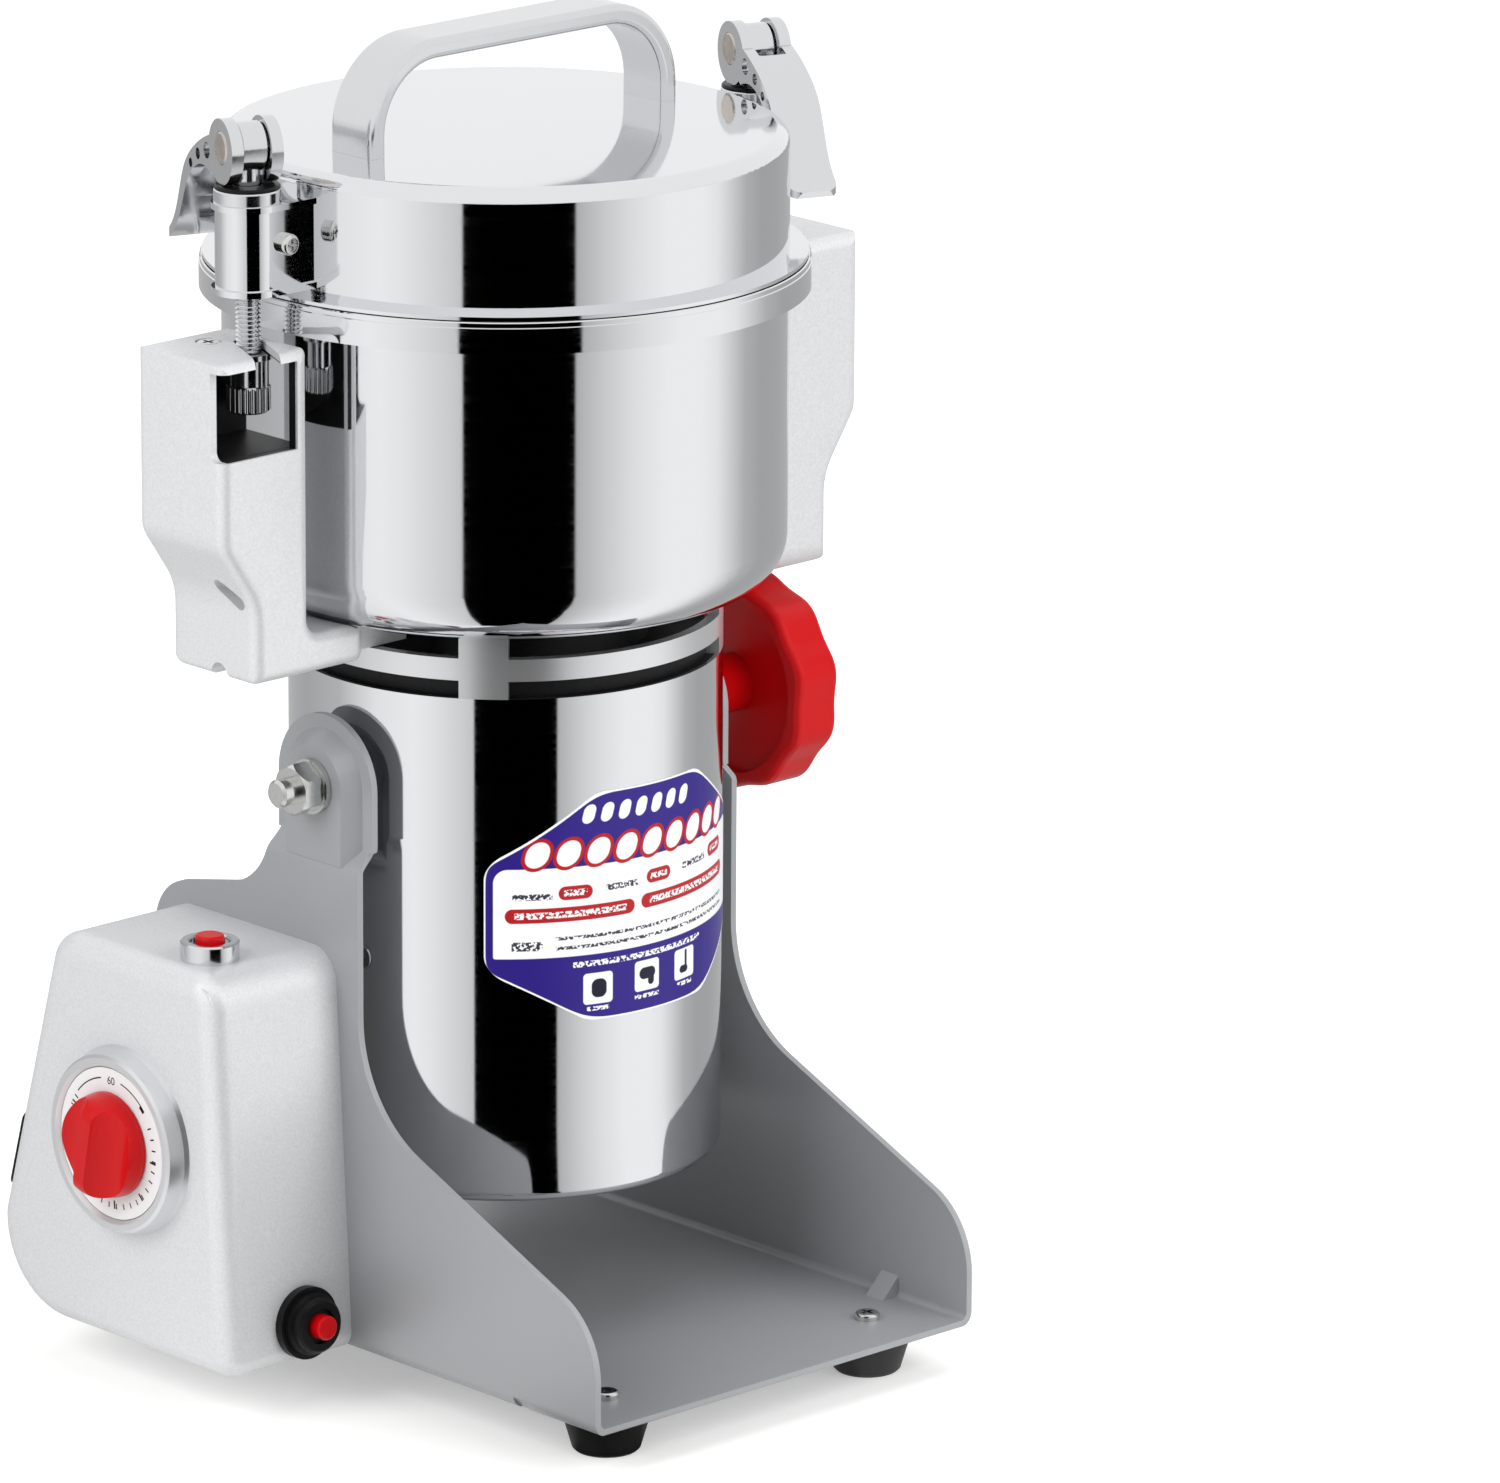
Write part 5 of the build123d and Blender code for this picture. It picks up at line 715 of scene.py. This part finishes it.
def white_world(scene):
    """White to the eye, and a soft grey light on the mill."""
    world = bpy.data.worlds.new("studio_world")
    world.use_nodes = True
    scene.world = world
    tree = world.node_tree
    ground = tree.nodes["Background"]
    ground.inputs["Color"].default_value = (1, 1, 1, 1)
    strength = put(tree, "ShaderNodeMapRange", {"Value": seen_directly(tree), "To Min": WORLD_LIGHT,
                                                "To Max": 1.0})
    tree.links.new(strength.outputs["Result"], ground.inputs["Strength"])


def white_floor():
    """Matt white floor that keeps the mill's shadow, with painted shade darkening its middle round the mill.
    """
    mesh = bpy.data.meshes.new("studio_floor")
    corners = [(FLOOR_SIDE * x, FLOOR_SIDE * y, 0) for x, y in ((-1, -1), (1, -1), (1, 1), (-1, 1))]
    mesh.from_pydata(corners, [], [(0, 1, 2, 3)])
    material = bpy.data.materials.new("white_paper")
    material.use_nodes = True
    tree = material.node_tree
    tree.nodes.clear()
    matt = put(tree, "ShaderNodeBsdfDiffuse", {"Color": linear("#E8E8E6")}).outputs[0]
    place = put(tree, "ShaderNodeTexCoord").outputs["Object"]
    away = put(tree, "ShaderNodeVectorMath", {0: place}, operation="LENGTH").outputs["Value"]
    # Painted shade: the floor glows less near the mill's axis than farther out.
    level = put(tree, "ShaderNodeMapRange", {"Value": away, "From Min": SHADE_IN, "From Max": SHADE_OUT,
                                             "To Min": FLOOR_GLOW[0], "To Max": FLOOR_GLOW[1]},
                interpolation_type="SMOOTHSTEP").outputs["Result"]
    glow = put(tree, "ShaderNodeMath", {0: seen_directly(tree), 1: level}, operation="MULTIPLY").outputs[0]
    lit = put(tree, "ShaderNodeEmission", {"Color": (1, 1, 1, 1), "Strength": glow}).outputs[0]
    whole = put(tree, "ShaderNodeAddShader", {0: matt, 1: lit}).outputs[0]
    put(tree, "ShaderNodeOutputMaterial", {"Surface": whole})
    mesh.materials.append(material)
    floor = bpy.data.objects.new("studio_floor", mesh)
    bpy.context.collection.objects.link(floor)


def only_in_mirrors(piece):
    """Show a piece in polished surfaces only."""
    piece.visible_camera = False
    piece.visible_diffuse = False
    piece.visible_shadow = False
    piece.visible_transmission = False


def camera_side():
    """Angle round the mill's axis at which the camera stands."""
    towards = CAMERA_AT - AXIS
    return atan2(towards.y, towards.x)


def tent_wall():
    """Grey cards on the floor and in a ring about the mill, which its polished steel reflects."""
    start = camera_side()
    vertices, faces, greys = [], [], []
    for index in range(WALL_STEPS + 1):
        turn = -180 + 360 * index / WALL_STEPS
        angle = start + radians(turn)
        for radius, height in ((CARD_IN, CARD_LIFT), (WALL_R, CARD_LIFT), (WALL_R, WALL_H)):
            vertices.append((AXIS.x + radius * cos(angle), AXIS.y + radius * sin(angle), height))
        greys += [grey_at(turn)] * 3
    for index in range(WALL_STEPS):
        low = 3 * index
        faces += [(low, low + 3, low + 4, low + 1), (low + 1, low + 4, low + 5, low + 2)]
    mesh = bpy.data.meshes.new("tent_wall")
    mesh.from_pydata(vertices, [], faces)
    layer = mesh.attributes.new("grey", "FLOAT", "POINT")
    layer.data.foreach_set("value", greys)
    material = bpy.data.materials.new("grey_cards")
    material.use_nodes = True
    tree = material.node_tree
    tree.nodes.clear()
    level = put(tree, "ShaderNodeAttribute", attribute_name="grey").outputs["Fac"]
    lit = put(tree, "ShaderNodeEmission", {"Color": (1, 1, 1, 1), "Strength": level}).outputs[0]
    put(tree, "ShaderNodeOutputMaterial", {"Surface": lit})
    mesh.materials.append(material)
    wall = bpy.data.objects.new("tent_wall", mesh)
    bpy.context.collection.objects.link(wall)
    only_in_mirrors(wall)


def grey_at(turn):
    """The wall's grey at an angle, between the two listed greys beside it."""
    for (before, first), (after, second) in zip(WALL_GREYS, WALL_GREYS[1:]):
        if turn <= after:
            return first + (second - first) * (turn - before) / (after - before)
    return WALL_GREYS[-1][1]


def soft_lamp(name, power, size, turn, height, distance):
    """Square lamp aimed at the mill, at an angle in degrees round from the camera's side."""
    lamp = bpy.data.lights.new(name, "AREA")
    lamp.energy = power
    lamp.size = size
    holder = bpy.data.objects.new(name, lamp)
    bpy.context.collection.objects.link(holder)
    angle = camera_side() + radians(turn)
    holder.location = LAMP_AIM + Vector((distance * cos(angle), distance * sin(angle), height))
    holder.rotation_euler = (LAMP_AIM - holder.location).to_track_quat("-Z", "Y").to_euler()
    holder.visible_glossy = False


def long_lens(scene):
    """Camera with a long lens in front of the mill's left corner, a little above it."""
    camera = bpy.data.cameras.new("camera")
    camera.lens = CAMERA_LENS
    camera.sensor_width = 36.0
    camera.sensor_fit = "HORIZONTAL"
    camera.clip_end = 50.0
    holder = bpy.data.objects.new("camera", camera)
    bpy.context.collection.objects.link(holder)
    back = (CAMERA_AT - CAMERA_AIM).normalized()
    right = (-back).cross(Vector((0, 0, 1))).normalized()
    up = back.cross(right)
    tilted_right = right * cos(CAMERA_ROLL) + up * sin(CAMERA_ROLL)
    tilted_up = up * cos(CAMERA_ROLL) - right * sin(CAMERA_ROLL)
    turn = Matrix((tilted_right, tilted_up, back)).transposed().to_4x4()
    holder.matrix_world = Matrix.Translation(CAMERA_AT) @ turn
    scene.camera = holder


class MILL_OT_studio(Maker, bpy.types.Operator):
    """Set up the floor, the tent wall, the lamps and the camera"""
    bl_idname = "mill.studio"
    bl_label = "Build the studio"

    def execute(self, context):
        lights = context.scene.mill_studio
        context.scene.view_settings.view_transform = "Standard"
        white_world(context.scene)
        white_floor()
        tent_wall()
        for setting, size, turn, height, distance in LAMPS:
            soft_lamp(setting + "_lamp", getattr(lights, setting), size, turn, height, distance)
        long_lens(context.scene)
        return {"FINISHED"}


class MILL_PT_panel(bpy.types.Panel):
    """The mill's settings and makers, in the sidebar"""
    bl_idname = "MILL_PT_panel"
    bl_label = "Grain Mill"
    bl_space_type = "VIEW_3D"
    bl_region_type = "UI"
    bl_category = "Grain Mill"

    def draw(self, context):
        for name, group in GROUPS.items():
            box = self.layout.box()
            for key in group.__annotations__:
                box.prop(getattr(context.scene, name), key)
        for operator in OPERATORS:
            self.layout.operator(operator.bl_idname)


OPERATORS = (MILL_OT_studio, MILL_OT_sheet_and_castings, MILL_OT_bright_metal, MILL_OT_plastic_and_rubber,
             MILL_OT_windings, MILL_OT_dial_print, MILL_OT_label_print)


def register():
    """Add the settings, the operators and the panel."""
    for name, group in GROUPS.items():
        bpy.utils.register_class(group)
        setattr(bpy.types.Scene, name, PointerProperty(type=group))
    for item in (*OPERATORS, MILL_PT_panel):
        bpy.utils.register_class(item)


def unregister():
    """Remove what register added."""
    for item in (MILL_PT_panel, *reversed(OPERATORS)):
        bpy.utils.unregister_class(item)
    for name, group in GROUPS.items():
        delattr(bpy.types.Scene, name)
        bpy.utils.unregister_class(group)


def main():
    """Run every maker in order."""
    register()
    for operator in OPERATORS:
        family, action = operator.bl_idname.split(".")
        getattr(getattr(bpy.ops, family), action)()


if __name__ == "__main__":
    main()
